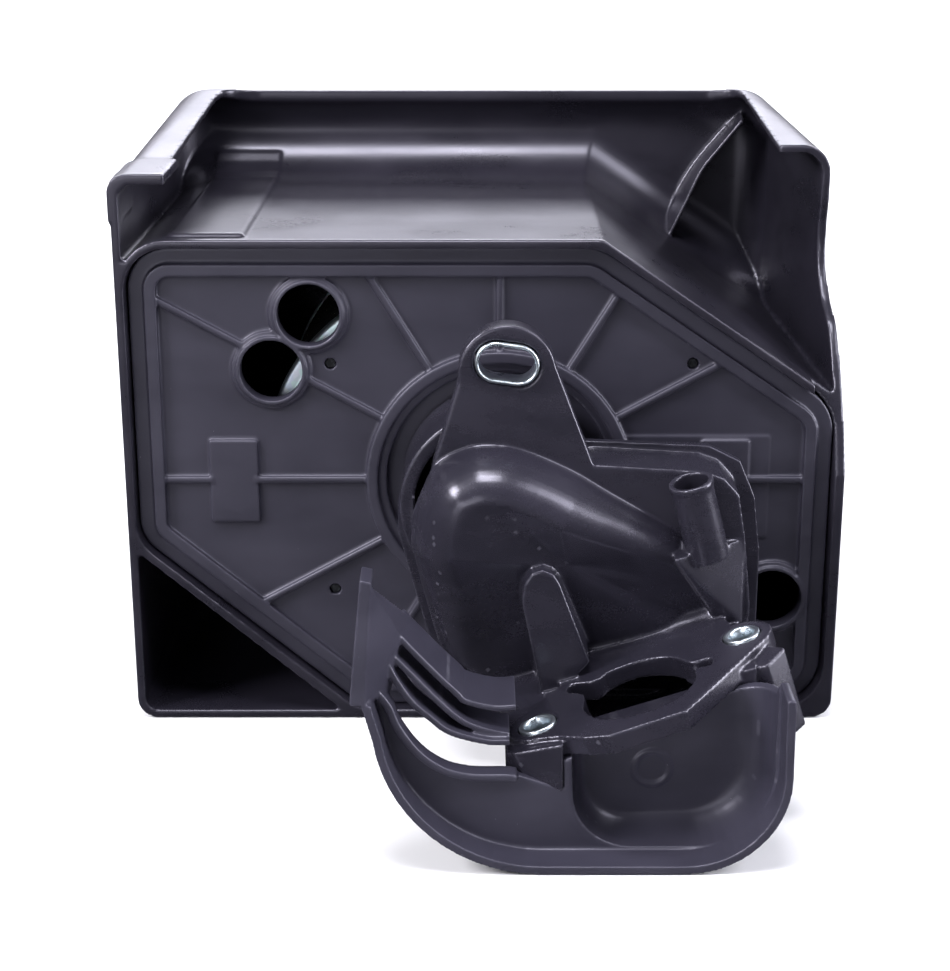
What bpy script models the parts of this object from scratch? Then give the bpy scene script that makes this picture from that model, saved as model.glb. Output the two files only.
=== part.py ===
"""Air filter housing for a small single-cylinder engine, built as an assembly.

The stud axis of the housing runs along +Y.  Drawing coordinates (x, y, z) are millimetres from
the point where that axis crosses the outer face of the base plate: x to the right, y into the
cover, z up.  HUB places that point in the row frame.
"""
import math

import bmesh
import bpy
from mathutils import Vector

MM = 0.001

# ---------------------------------------------------------------- driving dimensions (mm)
GAP = 0.3                     # clearance between touching parts
HUB = Vector((4.1, -19.0, 74.0)) * MM

# base plate
PLATE_T = 3.0                 # plate skin
PLATE_RAISE = 2.2             # height of ribs, border and collars above the skin
PLATE_OUTLINE = [(-105.3, 68.3), (28.0, 68.3), (96.5, 21.5), (96.5, -71.0), (-42.0, -71.0), (-105.3, -18.0)]
PLATE_CORNER_R = [12.0, 14.0, 14.0, 14.0, 12.0, 12.0]
PADS = (-84.0, 58.5)            # left edges of the two raised pads
SHELF_W, BORDER_W = 4.6, 8.0     # outer shelf of the border, then its ridge
RIB_W = 1.8
COLLAR_OUT, COLLAR_IN, RECESS_R = 38.5, 35.2, 32.7
RECESS_FLOOR = 2.4            # seat of the elbow gasket
LEDGE_BACK = 6.0              # inner face of the hub ledge
BOSS_R, BOSS_FLAT, BOSS_BACK = 26.4, 21.4, 12.0
BORE_R = 19.5
INLETS = [(-54.3, 49.2), (-65.3, 33.0), (80.8, -36.8)]
INLET_R, INLET_COLLAR_R = 8.9, 11.4
SCREWS = [(-48.5, 34.5), (55.5, 34.5), (-48.5, -34.5), (55.5, -34.5)]

# cover
WALL = 2.5
RIM_Y, FAR_IN, FAR_OUT = -5.0, 115.2, 117.7
COVER_RIM = (-108.4, 100.2, -74.0, 88.7)        # left, right, bottom, top at the rim
COVER_FAR = (-107.5, 90.0, -74.0, 100.0)
COVER_R, COVER_FAR_R = 6.0, 9.0
CHAMBER_R = 14.8                # outer corner of the chamber beside the cover's left wall
NOTCH_Z = 82.0                  # everything of the top wall inside the notch is above this
CHAMBER_TOP = 71.2            # outer face of the chamber's top wall

# element
ELEMENT_R, ELEMENT_HALF = 56.5, 13.0            # stadium radius and half its straight length
CAP_FACE, CAP_RIM, CAP_SKIRT, SHEET = 8.2, 11.6, 16.6, 0.9
END_IN, END_OUT = 91.6, 95.2
HOLE_R, HOLE_FLAT = 27.0, 22.0
PLEATS, PLEAT_IN, PLEAT_OUT = 40, 29.5, 46.0
SLEEVE_IN, SLEEVE_OUT = 47.0, 55.2

# stud line
STUD_R, STUD_BORE = 2.9, 3.2
STUD_START, STUD_END = -6.0, 127.0
KNOB_FACE, KNOB_TOP, KNOB_R = 120.9, 138.0, 17.0

# intake elbow
NECK_R, NECK_BORE = 28.0, 24.0
PLENUM_FRONT, PLENUM_BACK = -40.0, -20.0
TAB_C, TAB_R, TAB_T = (1.5, 42.0), 13.1, 8.0
SLOT_C, SLOT_TILT = (1.5, 44.8), math.radians(-8.0)
FLANGE_C = Vector((36.6, -69.0, -33.3))
FLANGE_TILT = math.radians(18.0)
FLANGE_T = 5.5
EAR_U, EAR_W, EAR_R, EAR_BORE = 28.8, 9.0, 8.2, 5.3
STUB_R, STUB_BORE = 5.75, 4.6
STUB_TOP, STUB_FOOT = Vector((50.5, -47.0, 14.5)), Vector((56.4, -44.6, -8.0))

# carburettor guard
GUARD_RIM, GUARD_FLOOR, GUARD_BACK, GUARD_T = -100.0, -90.6, -88.0, 2.3
POCKET_FACE, DUCT_FRONT = -79.3, -76.6
UNDER = 6.2                   # drop from the flange face to the top of the guard


# ---------------------------------------------------------------- scene and materials
for old in list(bpy.data.objects):
    bpy.data.objects.remove(old, do_unlink=True)

COLLECTION = bpy.context.scene.collection


def material(name, colour, roughness, metallic=0.0):
    mat = bpy.data.materials.new(name)
    mat.use_nodes = True
    shader = mat.node_tree.nodes["Principled BSDF"]
    shader.inputs["Base Color"].default_value = (*colour, 1.0)
    shader.inputs["Roughness"].default_value = roughness
    shader.inputs["Metallic"].default_value = metallic
    mat.diffuse_color = (*colour, 1.0)
    return mat


BLACK = material("moulded_black_plastic", (0.018, 0.017, 0.026), 0.36)
DARK = material("dark_plastic", (0.03, 0.03, 0.036), 0.5)
STEEL = material("zinc_plated_steel", (0.62, 0.70, 0.75), 0.32, 1.0)
SHEET_STEEL = material("galvanised_sheet", (0.55, 0.63, 0.68), 0.4, 1.0)
PAPER = material("amber_filter_paper", (0.80, 0.42, 0.06), 0.8)
FOAM = material("black_open_cell_foam", (0.012, 0.012, 0.013), 0.95)
RUBBER = material("black_rubber", (0.02, 0.02, 0.02), 0.75)
BRASS = material("brass", (0.72, 0.52, 0.22), 0.35, 1.0)


# ---------------------------------------------------------------- shape tools
def finish(name, bm, mat, cutter=False):
    """Turn a bmesh drawn in millimetres into a named object placed at the hub."""
    quads = [face for face in bm.faces if len(face.verts) == 4]
    bmesh.ops.connect_verts_nonplanar(bm, angle_limit=0.002, faces=quads)
    bmesh.ops.recalc_face_normals(bm, faces=bm.faces)
    bmesh.ops.scale(bm, vec=(MM, MM, MM), verts=bm.verts)
    mesh = bpy.data.meshes.new(name)
    bm.to_mesh(mesh)
    bm.free()
    obj = bpy.data.objects.new(name, mesh)
    obj.location = HUB
    COLLECTION.objects.link(obj)
    if mat is not None:
        mesh.materials.append(mat)
    if cutter:
        obj.hide_render = True
        obj.display_type = "WIRE"
    return obj


def loft_bmesh(rings, ring_of_rings=False):
    """Skin equal-length closed rings; the ends are capped, or joined up into a ring of rings."""
    bm = bmesh.new()
    loops = [[bm.verts.new(p) for p in ring] for ring in rings]
    count = len(rings[0])
    pairs = list(zip(loops, loops[1:]))
    if ring_of_rings:
        pairs.append((loops[-1], loops[0]))
    for low, high in pairs:
        for i in range(count):
            j = (i + 1) % count
            bm.faces.new((low[i], low[j], high[j], high[i]))
    if not ring_of_rings:
        bm.faces.new(loops[0][::-1])
        bm.faces.new(loops[-1])
    return bm


def hull(name, rings, mat=None):
    """Smallest convex solid around some rings of points; without a material it is a cutter."""
    bm = bmesh.new()
    for ring in rings:
        for point in ring:
            bm.verts.new(point)
    result = bmesh.ops.convex_hull(bm, input=bm.verts)
    inside = [v for v in result["geom_interior"] if isinstance(v, bmesh.types.BMVert)]
    bmesh.ops.delete(bm, geom=inside, context="VERTS")
    bmesh.ops.dissolve_limit(bm, angle_limit=0.002, verts=bm.verts, edges=bm.edges)
    return finish(name, bm, mat, mat is None)


def flat_ring(outline, y):
    return [(x, y, z) for x, z in outline]


def prism(name, outline, y0, y1, mat=None):
    """Closed prism along Y; without a material it is a cutter."""
    rings = [flat_ring(outline, y0), flat_ring(outline, y1)]
    return finish(name, loft_bmesh(rings), mat, mat is None)


def prism_x(name, outline_yz, x0, x1):
    rings = [[(x, y, z) for y, z in outline_yz] for x in (x0, x1)]
    return finish(name, loft_bmesh(rings), None, True)


def prism_z(name, outline_xy, z0, z1):
    rings = [[(x, y, z) for x, y in outline_xy] for z in (z0, z1)]
    return finish(name, loft_bmesh(rings), None, True)


def circle(radius, count=32, centre=(0.0, 0.0)):
    step = 2.0 * math.pi / count
    return [(centre[0] + radius * math.cos(i * step), centre[1] + radius * math.sin(i * step))
            for i in range(count)]


def tube(name, outer, inner, y0, y1, mat, centre=(0.0, 0.0), count=32):
    """Round tube along Y."""
    rings = [flat_ring(circle(r, count, centre), y)
             for r, y in ((outer, y0), (outer, y1), (inner, y1), (inner, y0))]
    return finish(name, loft_bmesh(rings, True), mat)


def turned(name, profile, mat, count=32, centre=(0.0, 0.0)):
    """Ring of revolution about Y from a closed (radius, y) profile."""
    return finish(name, loft_bmesh([flat_ring(circle(r, count, centre), y) for r, y in profile], True), mat)


def rounded(points, radii, steps=4):
    """Replace each corner of a convex polygon by an arc."""
    out = []
    count = len(points)
    for i, (px, pz) in enumerate(points):
        here = Vector((px, pz))
        to_prev = (Vector(points[i - 1]) - here).normalized()
        to_next = (Vector(points[(i + 1) % count]) - here).normalized()
        half = to_prev.angle(to_next) / 2.0
        radius = radii[i]
        reach = radius / math.tan(half)
        centre = here + (to_prev + to_next).normalized() * (radius / math.sin(half))
        start = here + to_prev * reach - centre
        end = here + to_next * reach - centre
        sweep = start.angle_signed(end)
        for k in range(steps + 1):
            turn = -sweep * k / steps
            c, s = math.cos(turn), math.sin(turn)
            out.append((centre.x + start.x * c - start.y * s, centre.y + start.x * s + start.y * c))
    return out


def inset(points, distance):
    """Move every edge of a polygon inwards (negative: outwards) with mitred corners."""
    count = len(points)
    area = sum(points[i - 1][0] * points[i][1] - points[i][0] * points[i - 1][1] for i in range(count))
    side = 1.0 if area > 0 else -1.0
    out = []
    for i in range(count):
        a, b, c = (Vector(points[k % count]) for k in (i - 1, i, i + 1))
        d0, d1 = (b - a).normalized(), (c - b).normalized()
        n0, n1 = Vector((-d0.y, d0.x)) * side, Vector((-d1.y, d1.x)) * side
        move = (n0 + n1) * (distance / max(0.35, 1.0 + n0.dot(n1)))
        out.append((b.x + move.x, b.y + move.y))
    return out


def rounded_box(left, right, bottom, top, radius, steps=4):
    corners = [(left, bottom), (right, bottom), (right, top), (left, top)]
    return rounded(corners, [radius] * 4, steps)


def by_angle(limit, count=48):
    """Closed outline from a function giving the distance along each direction."""
    out = []
    for i in range(count):
        angle = 2.0 * math.pi * (i + 0.5) / count
        reach = limit(math.cos(angle), math.sin(angle))
        out.append((reach * math.cos(angle), reach * math.sin(angle)))
    return out


def stadium(radius, half, count=48):
    def reach(c, s):
        if abs(s) * half > radius * abs(c) and abs(s) > 1e-9:
            return radius / abs(s)
        return half * abs(c) + math.sqrt(max(0.0, radius ** 2 - (half * s) ** 2))
    return by_angle(reach, count)


def flatted_circle(radius, flat, count=48):
    return by_angle(lambda c, s: min(radius, flat / max(abs(s), 1e-9)), count)


def arc_points(centre, radius, first, last, steps):
    """Points along a circular arc, angles in degrees."""
    out = []
    for k in range(steps + 1):
        angle = math.radians(first + (last - first) * k / steps)
        out.append((centre[0] + radius * math.cos(angle), centre[1] + radius * math.sin(angle)))
    return out


def thick_line(points, width):
    """Band of constant width around a polyline, for curved walls."""
    left, right = [], []
    for i, point in enumerate(points):
        here = Vector(point)
        before = Vector(points[max(i - 1, 0)])
        after = Vector(points[min(i + 1, len(points) - 1)])
        along = (after - before).normalized()
        normal = Vector((-along.y, along.x)) * width / 2.0
        left.append(tuple(here + normal))
        right.append(tuple(here - normal))
    return left + right[::-1]


def add_boolean(obj, tool, operation):
    mod = obj.modifiers.new(tool.name, "BOOLEAN")
    mod.operation = operation
    mod.solver = "EXACT"
    mod.object = tool
    tool.hide_render = True
    tool.display_type = "WIRE"


def join(obj, *tools):
    for tool in tools:
        add_boolean(obj, tool, "UNION")


def cut(obj, *tools):
    for tool in tools:
        add_boolean(obj, tool, "DIFFERENCE")


# ---------------------------------------------------------------- base plate
def build_base_plate():
    outline = rounded(PLATE_OUTLINE, PLATE_CORNER_R)
    plate = prism("base_plate", outline, 0.0, PLATE_T, BLACK)
    ledge = prism("plate_ledge_tool", circle(34.0, 40), 1.5, LEDGE_BACK)
    boss = prism("plate_boss_tool", flatted_circle(BOSS_R, BOSS_FLAT, 40), LEDGE_BACK - 0.5, BOSS_BACK)
    profile = [(0.0, 0.5), (0.0, -0.6), (SHELF_W, -0.6), (SHELF_W, -PLATE_RAISE), (BORDER_W, -PLATE_RAISE),
               (BORDER_W, 0.5)]
    border = finish("plate_border_tool", loft_bmesh(
        [flat_ring(inset(outline, d), y) for d, y in profile], True), None, True)
    collar = tube("plate_collar_tool", COLLAR_OUT, COLLAR_IN, -PLATE_RAISE - 0.6, 0.6, None, count=40)
    join(plate, ledge, boss, border, collar)
    plate_ribs(plate)
    for i, centre in enumerate(INLETS):
        ring = circle(INLET_COLLAR_R, 28, centre)
        join(plate, prism("inlet_collar_tool_%d" % (i + 1), ring, -PLATE_RAISE, 1.0))
    for i, left in enumerate(PADS):
        join(plate, prism("plate_pad_tool_%d" % (i + 1), rounded_box(left, left + 14.0, -13.0, 12.0, 1.0, 2),
                          -1.4, 0.8))
    recess = prism("plate_recess_tool", circle(RECESS_R, 40), -8.0, RECESS_FLOOR)
    bore = prism("plate_bore_tool", circle(BORE_R, 36), -1.0, 20.0)
    cut(plate, recess, bore)
    for i, centre in enumerate(INLETS):
        cut(plate, prism("inlet_tool_%d" % (i + 1), circle(INLET_R, 28, centre), -9.0, 9.0))
    for i, centre in enumerate(SCREWS):
        cut(plate, prism("screw_hole_tool_%d" % (i + 1), circle(1.65, 12, centre), -9.0, 9.0))
    return plate


def plate_ribs(plate):
    """Spokes from the hub collar out to the border."""
    spokes = [(0.0, 89.5), (28.7, 73.2), (58.5, 65.3), (90.0, 61.3), (121.5, 71.8), (151.3, 64.0),
              (208.7, 80.3), (238.5, 75.0), (270.0, 64.0), (301.5, 75.0), (331.3, 82.0)]
    for i, (degrees, reach) in enumerate(spokes):
        rib(plate, "rib_tool_%d" % (i + 1), degrees, COLLAR_OUT - 1.5, reach)
    rib(plate, "rib_tool_corner", 151.3, 83.0, 111.5)
    rib(plate, "rib_tool_left_inner", 180.0, COLLAR_OUT - 1.5, 71.0)
    rib(plate, "rib_tool_left_outer", 180.0, 83.0, 98.5)


def rib(plate, name, degrees, start, end):
    c, s = math.cos(math.radians(degrees)), math.sin(math.radians(degrees))
    h = RIB_W / 2.0
    outline = [(start * c - h * s, start * s + h * c), (end * c - h * s, end * s + h * c),
               (end * c + h * s, end * s - h * c), (start * c + h * s, start * s - h * c)]
    join(plate, prism(name, outline, -PLATE_RAISE + 0.6, 0.9))


# ---------------------------------------------------------------- intake elbow
def on_flange(u, w, drop=0.0):
    """Point on the carburettor flange: u across the ears, w towards the cover, drop below the face."""
    c, s = math.cos(FLANGE_TILT), math.sin(FLANGE_TILT)
    return (FLANGE_C.x + u * c + drop * s, FLANGE_C.y + w, FLANGE_C.z + u * s - drop * c)


def flange_prism(name, outline, top, bottom, mat=None):
    rings = [[on_flange(u, w, drop) for u, w in outline] for drop in (top, bottom)]
    return finish(name, loft_bmesh(rings), mat, mat is None)


def ear_arc(sign, first, last, steps=7):
    return [(sign * EAR_U + EAR_R * math.cos(math.radians(first + (last - first) * k / steps)),
             sign * EAR_W + EAR_R * math.sin(math.radians(first + (last - first) * k / steps)))
            for k in range(steps + 1)]


FLANGE_OUTLINE = (ear_arc(-1, 120.0, 268.0) + [(-23.5, -19.5), (-16.8, -24.6), (-10.5, -27.6), (9.5, -26.5)]
                  + ear_arc(1, -36.0, 100.0) + [(25.0, 27.5), (1.0, 31.0), (-14.0, 31.0), (-20.0, 22.0),
                                                (-22.0, 11.0)])
PORT_OUTLINE = [(-15.5, -9.0), (-10.0, -18.5), (-1.0, -20.5), (7.0, -18.0), (13.0, -9.5), (14.0, -3.5),
                (18.5, -3.0), (18.5, 0.5), (13.5, 1.5), (9.0, 8.5), (1.0, 11.8), (-9.0, 10.5),
                (-13.0, 8.0), (-19.0, 9.5), (-20.0, 5.0), (-16.0, 0.5)]
PORT_LIP, PORT_FRONT, RAMP = 2.3, -20.5, 0.17    # the port floor slopes down to the passage
PASSAGE_OUTLINE = [(-15.2, -3.0), (14.2, -3.0), (18.2, -1.6), (13.6, 0.9), (8.6, 8.0), (1.0, 11.3),
                   (-7.8, 10.1), (-12.4, 7.1), (-18.0, 8.8), (-19.2, 5.6), (-15.1, 0.8)]
RAMP_PLAN = [(-18.0, -14.5), (16.5, -14.5), (16.5, -1.0), (-18.0, -1.0)]
BLOCK_FRONT = [(46.3, -51.5, -6.4), (66.8, -39.5, -4.6), (66.5, -44.0, -28.0), (60.0, -44.0, -28.0),
               (59.0, -46.0, -15.5)]
BLOCK_BACK = [(46.0, -34.0, -6.6), (66.5, -34.0, -4.6), (66.5, -34.0, -28.0), (60.0, -34.0, -28.0)]
BRACE_FRONT = [(68.5, -76.0, -26.5), (75.5, -76.0, -47.5)]
BRACE_BACK = [(73.8, -71.0, -23.5), (80.6, -71.0, -45.5)]
BRACE_ROOT = [(x, y, z) for x in (60.0, 70.0) for y in (-71.0, -54.0) for z in (-30.0, -47.0)]
DOME_OUTLINE = [(-23.0, -6.0), (-22.2, 6.0), (-17.5, 16.6), (-10.0, 21.0), (-3.5, 22.2), (5.3, 21.0),
                (18.6, 15.3), (29.8, 8.5), (45.5, -0.8), (55.0, -8.5), (60.5, -17.0), (61.5, -28.0),
                (60.0, -42.0), (40.0, -50.0), (5.0, -50.0), (-11.0, -42.0), (-19.0, -22.0)]
DOME_H, DOME_EDGE = 17.5, 11.5                   # height of the bulge and radius of its rounded edge
PLENUM_OUTLINE = [(-21.3, 9.3), (-24.0, 2.7), (-24.5, -6.0), (-21.4, -19.3), (-16.7, -36.6), (-12.0, -50.0),
                  (-6.0, -56.0), (60.0, -56.0), (68.0, -48.0), (69.0, -24.0), (67.0, -5.0), (64.8, 8.0),
                  (60.5, 12.8), (55.0, 14.8), (26.0, 16.6)]


FOOT_OUTLINE = [(-28.5, 2.0), (-28.8, -8.0), (-25.5, -21.0), (-17.0, -52.0), (-8.0, -59.5), (62.0, -59.5),
                (73.5, -50.0), (73.5, -14.0), (71.5, 2.0), (67.0, 12.5), (58.0, 17.0), (22.0, 18.5),
                (-22.0, 12.0)]
TONGUE = [(5.5, -16.5), (6.5, -10.5), (10.5, -7.5), (15.0, -10.0), (24.0, -34.0)]


def flange_z(x):
    return FLANGE_C.z + (x - FLANGE_C.x) * math.tan(FLANGE_TILT)


DUCT_SHAPE = [(0.0, 1.0), (0.08, 0.42), (0.22, 0.08), (0.36, 0.0), (0.62, 0.0), (0.80, 0.25), (0.93, 0.85),
              (1.0, 1.9)]


def chamber_ring(y, left, right, bottom, lift, retreat=0.0):
    """Cross-section of the duct under the flange; its top edge follows the sloping flange."""
    width, depth = right - left, 12.0
    pts = [(left, flange_z(left) - lift)]
    pts += [(left + width * across, bottom + depth * up) for across, up in DUCT_SHAPE]
    pts.append((right, flange_z(right) - lift))
    return [(x, y + retreat * max(0.0, (x - left) / width - 0.55), z) for x, z in pts]


def fillet_ring(x):
    """Hollow corner between the dome's face and the flange behind the port."""
    top, r = flange_z(x), 5.5
    curve = [(x, -47.5 + r * math.sin(math.radians(a)), top + r - r * math.cos(math.radians(a)))
             for a in range(0, 91, 18)]
    return curve + [(x, -34.0, top + r), (x, -34.0, top - 5.0), (x, -47.5, top - 5.0)]


def leg_rings():
    """Support under the left ear: its front slants back to the side and its foot slants down."""
    top = [(0.9, -62.0), (0.9, -86.0), (3.4, -88.0), (15.5, -91.3), (15.5, -62.0)]
    foot = [(0.9, -62.0), (0.9, -86.0), (5.9, -88.6), (15.5, -91.3), (15.5, -62.0)]
    return [[(x, y, flange_z(x) - 1.5) for x, y in top], [(x, y, -50.8 - 0.3 * (x - 0.9)) for x, y in foot]]


def stub_ring(t, radius, count):
    """Circle square to the leaning breather stub, t from its foot (0) to its top (1)."""
    axis = (STUB_TOP - STUB_FOOT).normalized()
    side = axis.cross(Vector((0.0, 1.0, 0.0))).normalized()
    front = axis.cross(side)
    middle = STUB_FOOT + (STUB_TOP - STUB_FOOT) * t
    return [tuple(middle + (side * c + front * s) * radius) for c, s in circle(1.0, count)]


def dome_rings(outline, steps):
    """Bulge over the bend: full height along its upper edge, sinking to the flange below."""
    inner = inset(outline, DOME_EDGE)

    def rise(x, z):
        return 1.5 + (DOME_H - 1.5) * min(1.0, max(0.0, (z - flange_z(x)) / 44.0))
    rings = [flat_ring(outline, -30.0)]
    for k in range(steps + 1):
        angle = math.pi / 2.0 * k / steps
        ring = []
        for (x, z), (u, w) in zip(outline, inner):
            high = rise(u, w)
            t = (1.0 - math.cos(angle)) * (0.35 + 0.65 * high / DOME_H)
            ring.append((x + (u - x) * t, PLENUM_FRONT + 1.0 - high * math.sin(angle), z + (w - z) * t))
        rings.append(ring)
    return rings


def fan_capped(rings, centre):
    """Like a loft, but the last ring closes on a centre point."""
    bm = loft_bmesh(rings)
    bm.faces.ensure_lookup_table()
    bmesh.ops.poke(bm, faces=[bm.faces[-1]])
    bm.verts.ensure_lookup_table()
    bm.verts[-1].co = centre
    return bm


def build_elbow():
    elbow = prism("intake_elbow", PLENUM_OUTLINE, PLENUM_BACK - 0.5, PLENUM_FRONT, BLACK)
    neck = prism("elbow_neck_tool", circle(NECK_R, 40), RECESS_FLOOR - 1.6, PLENUM_BACK - 6.0)
    lip = prism("elbow_lip_tool", FOOT_OUTLINE, PLENUM_BACK, PLENUM_BACK - 3.0)
    tab_pts = [(-21.0, 8.0)] + [
        (TAB_C[0] + TAB_R * math.cos(math.radians(a)), TAB_C[1] + TAB_R * math.sin(math.radians(a)))
        for a in (190, 170, 150, 130, 110, 90, 70, 50, 30, 14)] + [(27.5, 10.0)]
    tab = prism("elbow_tab_tool", tab_pts, PLENUM_FRONT + TAB_T, PLENUM_FRONT - 0.02)
    dome = finish("elbow_dome_tool", fan_capped(
        dome_rings(DOME_OUTLINE, 5), (18.0, -51.5, -8.0)), None, True)
    duct = hull("elbow_duct_tool", [
        chamber_ring(DUCT_FRONT, 16.5, 66.0, -66.0, 3.0), chamber_ring(-62.0, 6.0, 66.5, -65.0, 3.0),
        chamber_ring(-30.0, -6.0, 64.0, -58.0, 3.0)])
    leg = finish("elbow_leg_tool", loft_bmesh(leg_rings()), None, True)
    plate = flange_prism("elbow_flange_tool", FLANGE_OUTLINE, 0.0, FLANGE_T)
    ramp = finish("elbow_ramp_tool", loft_bmesh(
        [[on_flange(u, w, FLANGE_T - 1.2) for u, w in RAMP_PLAN],
         [on_flange(u, w, FLANGE_T + 0.02 + RAMP * (w + 14.5)) for u, w in RAMP_PLAN]]), None, True)
    brace = hull("elbow_brace_tool", [BRACE_FRONT, BRACE_BACK, BRACE_ROOT])
    fillet = finish("elbow_fillet_tool", loft_bmesh([fillet_ring(x) for x in (10.0, 58.0)]), None, True)
    block = hull("elbow_block_tool", [BLOCK_FRONT, BLOCK_BACK])
    stub = finish("elbow_stub_tool", loft_bmesh(
        [stub_ring(0.0, STUB_R - 0.3, 24), stub_ring(0.9, STUB_R - 0.4, 24), stub_ring(0.94, STUB_R, 24),
         stub_ring(1.0, STUB_R, 24)]),
        None, True)
    tongue = finish("elbow_tongue_tool", loft_bmesh([
        [(x, y, z + rise) for x, z in TONGUE] + [(12.0, y, -48.0)]
        for y, rise in ((-30.0, 2.0), (-56.5, 0.0))]), None, True)
    join(elbow, neck, lip, tab, dome, duct, fillet, leg, plate, ramp, brace, block, stub, tongue)
    elbow_passages(elbow)
    return elbow


def elbow_passages(elbow):
    """Hollow the duct from the neck to the carburettor port and leave the stud spider standing."""
    throat = prism("elbow_throat_tool", circle(NECK_BORE, 36), 20.0, -36.5)
    bend = hull("elbow_bend_tool", [
        flat_ring([(-15.0, 2.0), (2.0, 9.0), (30.0, -4.0), (58.0, -30.0), (58.0, -50.0),
                   (0.0, -50.0)], -24.0),
        flat_ring([(-6.0, -2.0), (2.0, 1.0), (24.0, -10.0), (26.0, -16.0), (-2.0, -18.0)], -45.5),
        flat_ring([(58.0, -36.0), (58.0, -52.0), (8.0, -52.0), (0.0, -40.0)], -36.0)])
    lower = hull("elbow_lower_tool", [
        chamber_ring(DUCT_FRONT + 2.4, 20.0, 61.0, -62.5, 9.0), chamber_ring(-60.0, 12.0, 61.0, -61.5, 9.0),
        chamber_ring(-34.0, 8.0, 58.0, -54.0, 9.0)])
    port = finish("elbow_port_tool", loft_bmesh(
        [[on_flange(u, w, -5.0) for u, w in PORT_OUTLINE],
         [on_flange(u, w, PORT_LIP + RAMP * (w - PORT_FRONT)) for u, w in PORT_OUTLINE]]), None, True)
    passage = flange_prism("elbow_passage_tool", PASSAGE_OUTLINE, PORT_LIP - 0.9, FLANGE_T + 9.0)
    cut(elbow, throat, bend, lower, port, passage)
    for side in (-1, 1):
        hole = circle(EAR_BORE, 24, (side * EAR_U, side * EAR_W))
        cut(elbow, flange_prism("elbow_ear_tool_%d" % (side + 2), hole, -5.0, FLANGE_T + 6.0))
    slot = slot_outline(9.0, 5.9)
    cut(elbow, prism("elbow_slot_tool", slot, -60.0, -20.0))
    bore_rings = [stub_ring(t, STUB_BORE, 20) for t in (0.0, 1.4)]
    cut(elbow, finish("elbow_stub_bore_tool", loft_bmesh(bore_rings), None, True))
    breather = prism("elbow_breather_tool", circle(3.4, 16, (56.0, -7.5)), -44.0, -28.0)
    cut(elbow, breather)
    well = prism("elbow_well_tool", [(30.0, -18.0), (61.0, -20.0), (61.0, 6.0), (30.0, 9.0)], -36.5, -10.0)
    cut(elbow, well)
    for i in range(3):
        a = math.radians(90.0 + 120.0 * i)
        c, s, h = math.cos(a), math.sin(a), 1.5
        outline = [(2.0 * c - h * s, 2.0 * s + h * c), (26.0 * c - h * s, 26.0 * s + h * c),
                   (26.0 * c + h * s, 26.0 * s - h * c), (2.0 * c + h * s, 2.0 * s - h * c)]
        join(elbow, prism("elbow_spider_tool_%d" % (i + 1), outline, -12.0, -2.0))
    join(elbow, prism("elbow_boss_tool", circle(7.0, 20), -14.0, 1.0))
    cut(elbow, prism("elbow_stud_tool", circle(STUD_BORE, 16), -8.0, 5.0))


def slot_outline(half_length, radius, steps=6):
    """Oblong outline of the tab slot, slightly tilted."""
    straight = half_length - radius
    pts = []
    for side, first in ((1, -90.0), (-1, 90.0)):
        for k in range(steps + 1):
            a = math.radians(first + 180.0 * k / steps)
            pts.append((side * straight + radius * math.cos(a), radius * math.sin(a)))
    c, s = math.cos(SLOT_TILT), math.sin(SLOT_TILT)
    return [(SLOT_C[0] + x * c - z * s, SLOT_C[1] + x * s + z * c) for x, z in pts]


# ---------------------------------------------------------------- carburettor guard
UPPER_WALL = [(-25.6, -13.9), (-23.0, -17.0), (-16.0, -24.6), (-10.9, -29.7), (-8.9, -31.7), (-1.8, -33.5)]
MIDDLE_WALL = [(-28.5, -17.3), (-23.0, -23.1), (-16.0, -30.7), (-9.6, -36.4), (-3.1, -39.1), (0.2, -39.8)]
LOWER_WALL = [(-28.4, -20.1), (-26.2, -24.6), (-22.4, -30.2), (-17.9, -34.4), (-12.8, -38.4), (-3.8, -41.0),
              (0.2, -41.2)]
GUARD_STEPS = 8
GUARD_OUTER = ([(-38.2, -26.7), (-35.0, -28.1)] + arc_points((10.0, -31.0), 43.0, 188.0, 270.0, GUARD_STEPS)
               + arc_points((46.5, -47.5), 26.5, 270.0, 360.0, GUARD_STEPS) + [(72.6, -24.6)])
GUARD_ARC = [(0.4, -49.3), (-7.0, -49.2), (-14.2, -47.4), (-20.6, -42.8), (-25.7, -35.7), (-28.2, -29.7),
             (-31.1, -25.8), (-33.3, -23.4)]
POST = [(-38.2, -27.2), (-38.0, -24.6), (-35.0, 6.2), (-32.2, 5.5), (-34.2, -18.5), (-34.0, -27.2)]
GUARD_WALLS = [(UPPER_WALL, -86.0, -67.0), (MIDDLE_WALL, -88.0, -76.0), (LOWER_WALL, -90.0, -80.0)]
WEB_FRONT = [(-32.4, -100.0, 5.0), (-34.4, -100.0, -18.5), (-34.4, -100.0, -26.0)]
WEB_BACK = [(-23.0, -67.0, -17.0), (-25.8, -86.0, -14.2), (-28.2, -88.0, -18.0), (-28.6, -88.0, -29.0)]


def wall_under(line, width):
    """Band whose upper edge is the line."""
    return thick_line([(x - width * 0.36, z - width * 0.36) for x, z in line], width)


def pocket_outline(corners, radii, wall, under):
    """Closed outline moved outwards by the wall; its top follows the underside of the flange."""
    open_top = under if wall else under - 4.0
    corners = [(x, z if z < -60.0 else flange_z(x) - open_top) for x, z in corners]
    outline = inset(rounded(corners, radii), -wall)
    return [(x, min(z, flange_z(x) - open_top)) for x, z in outline]


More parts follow.
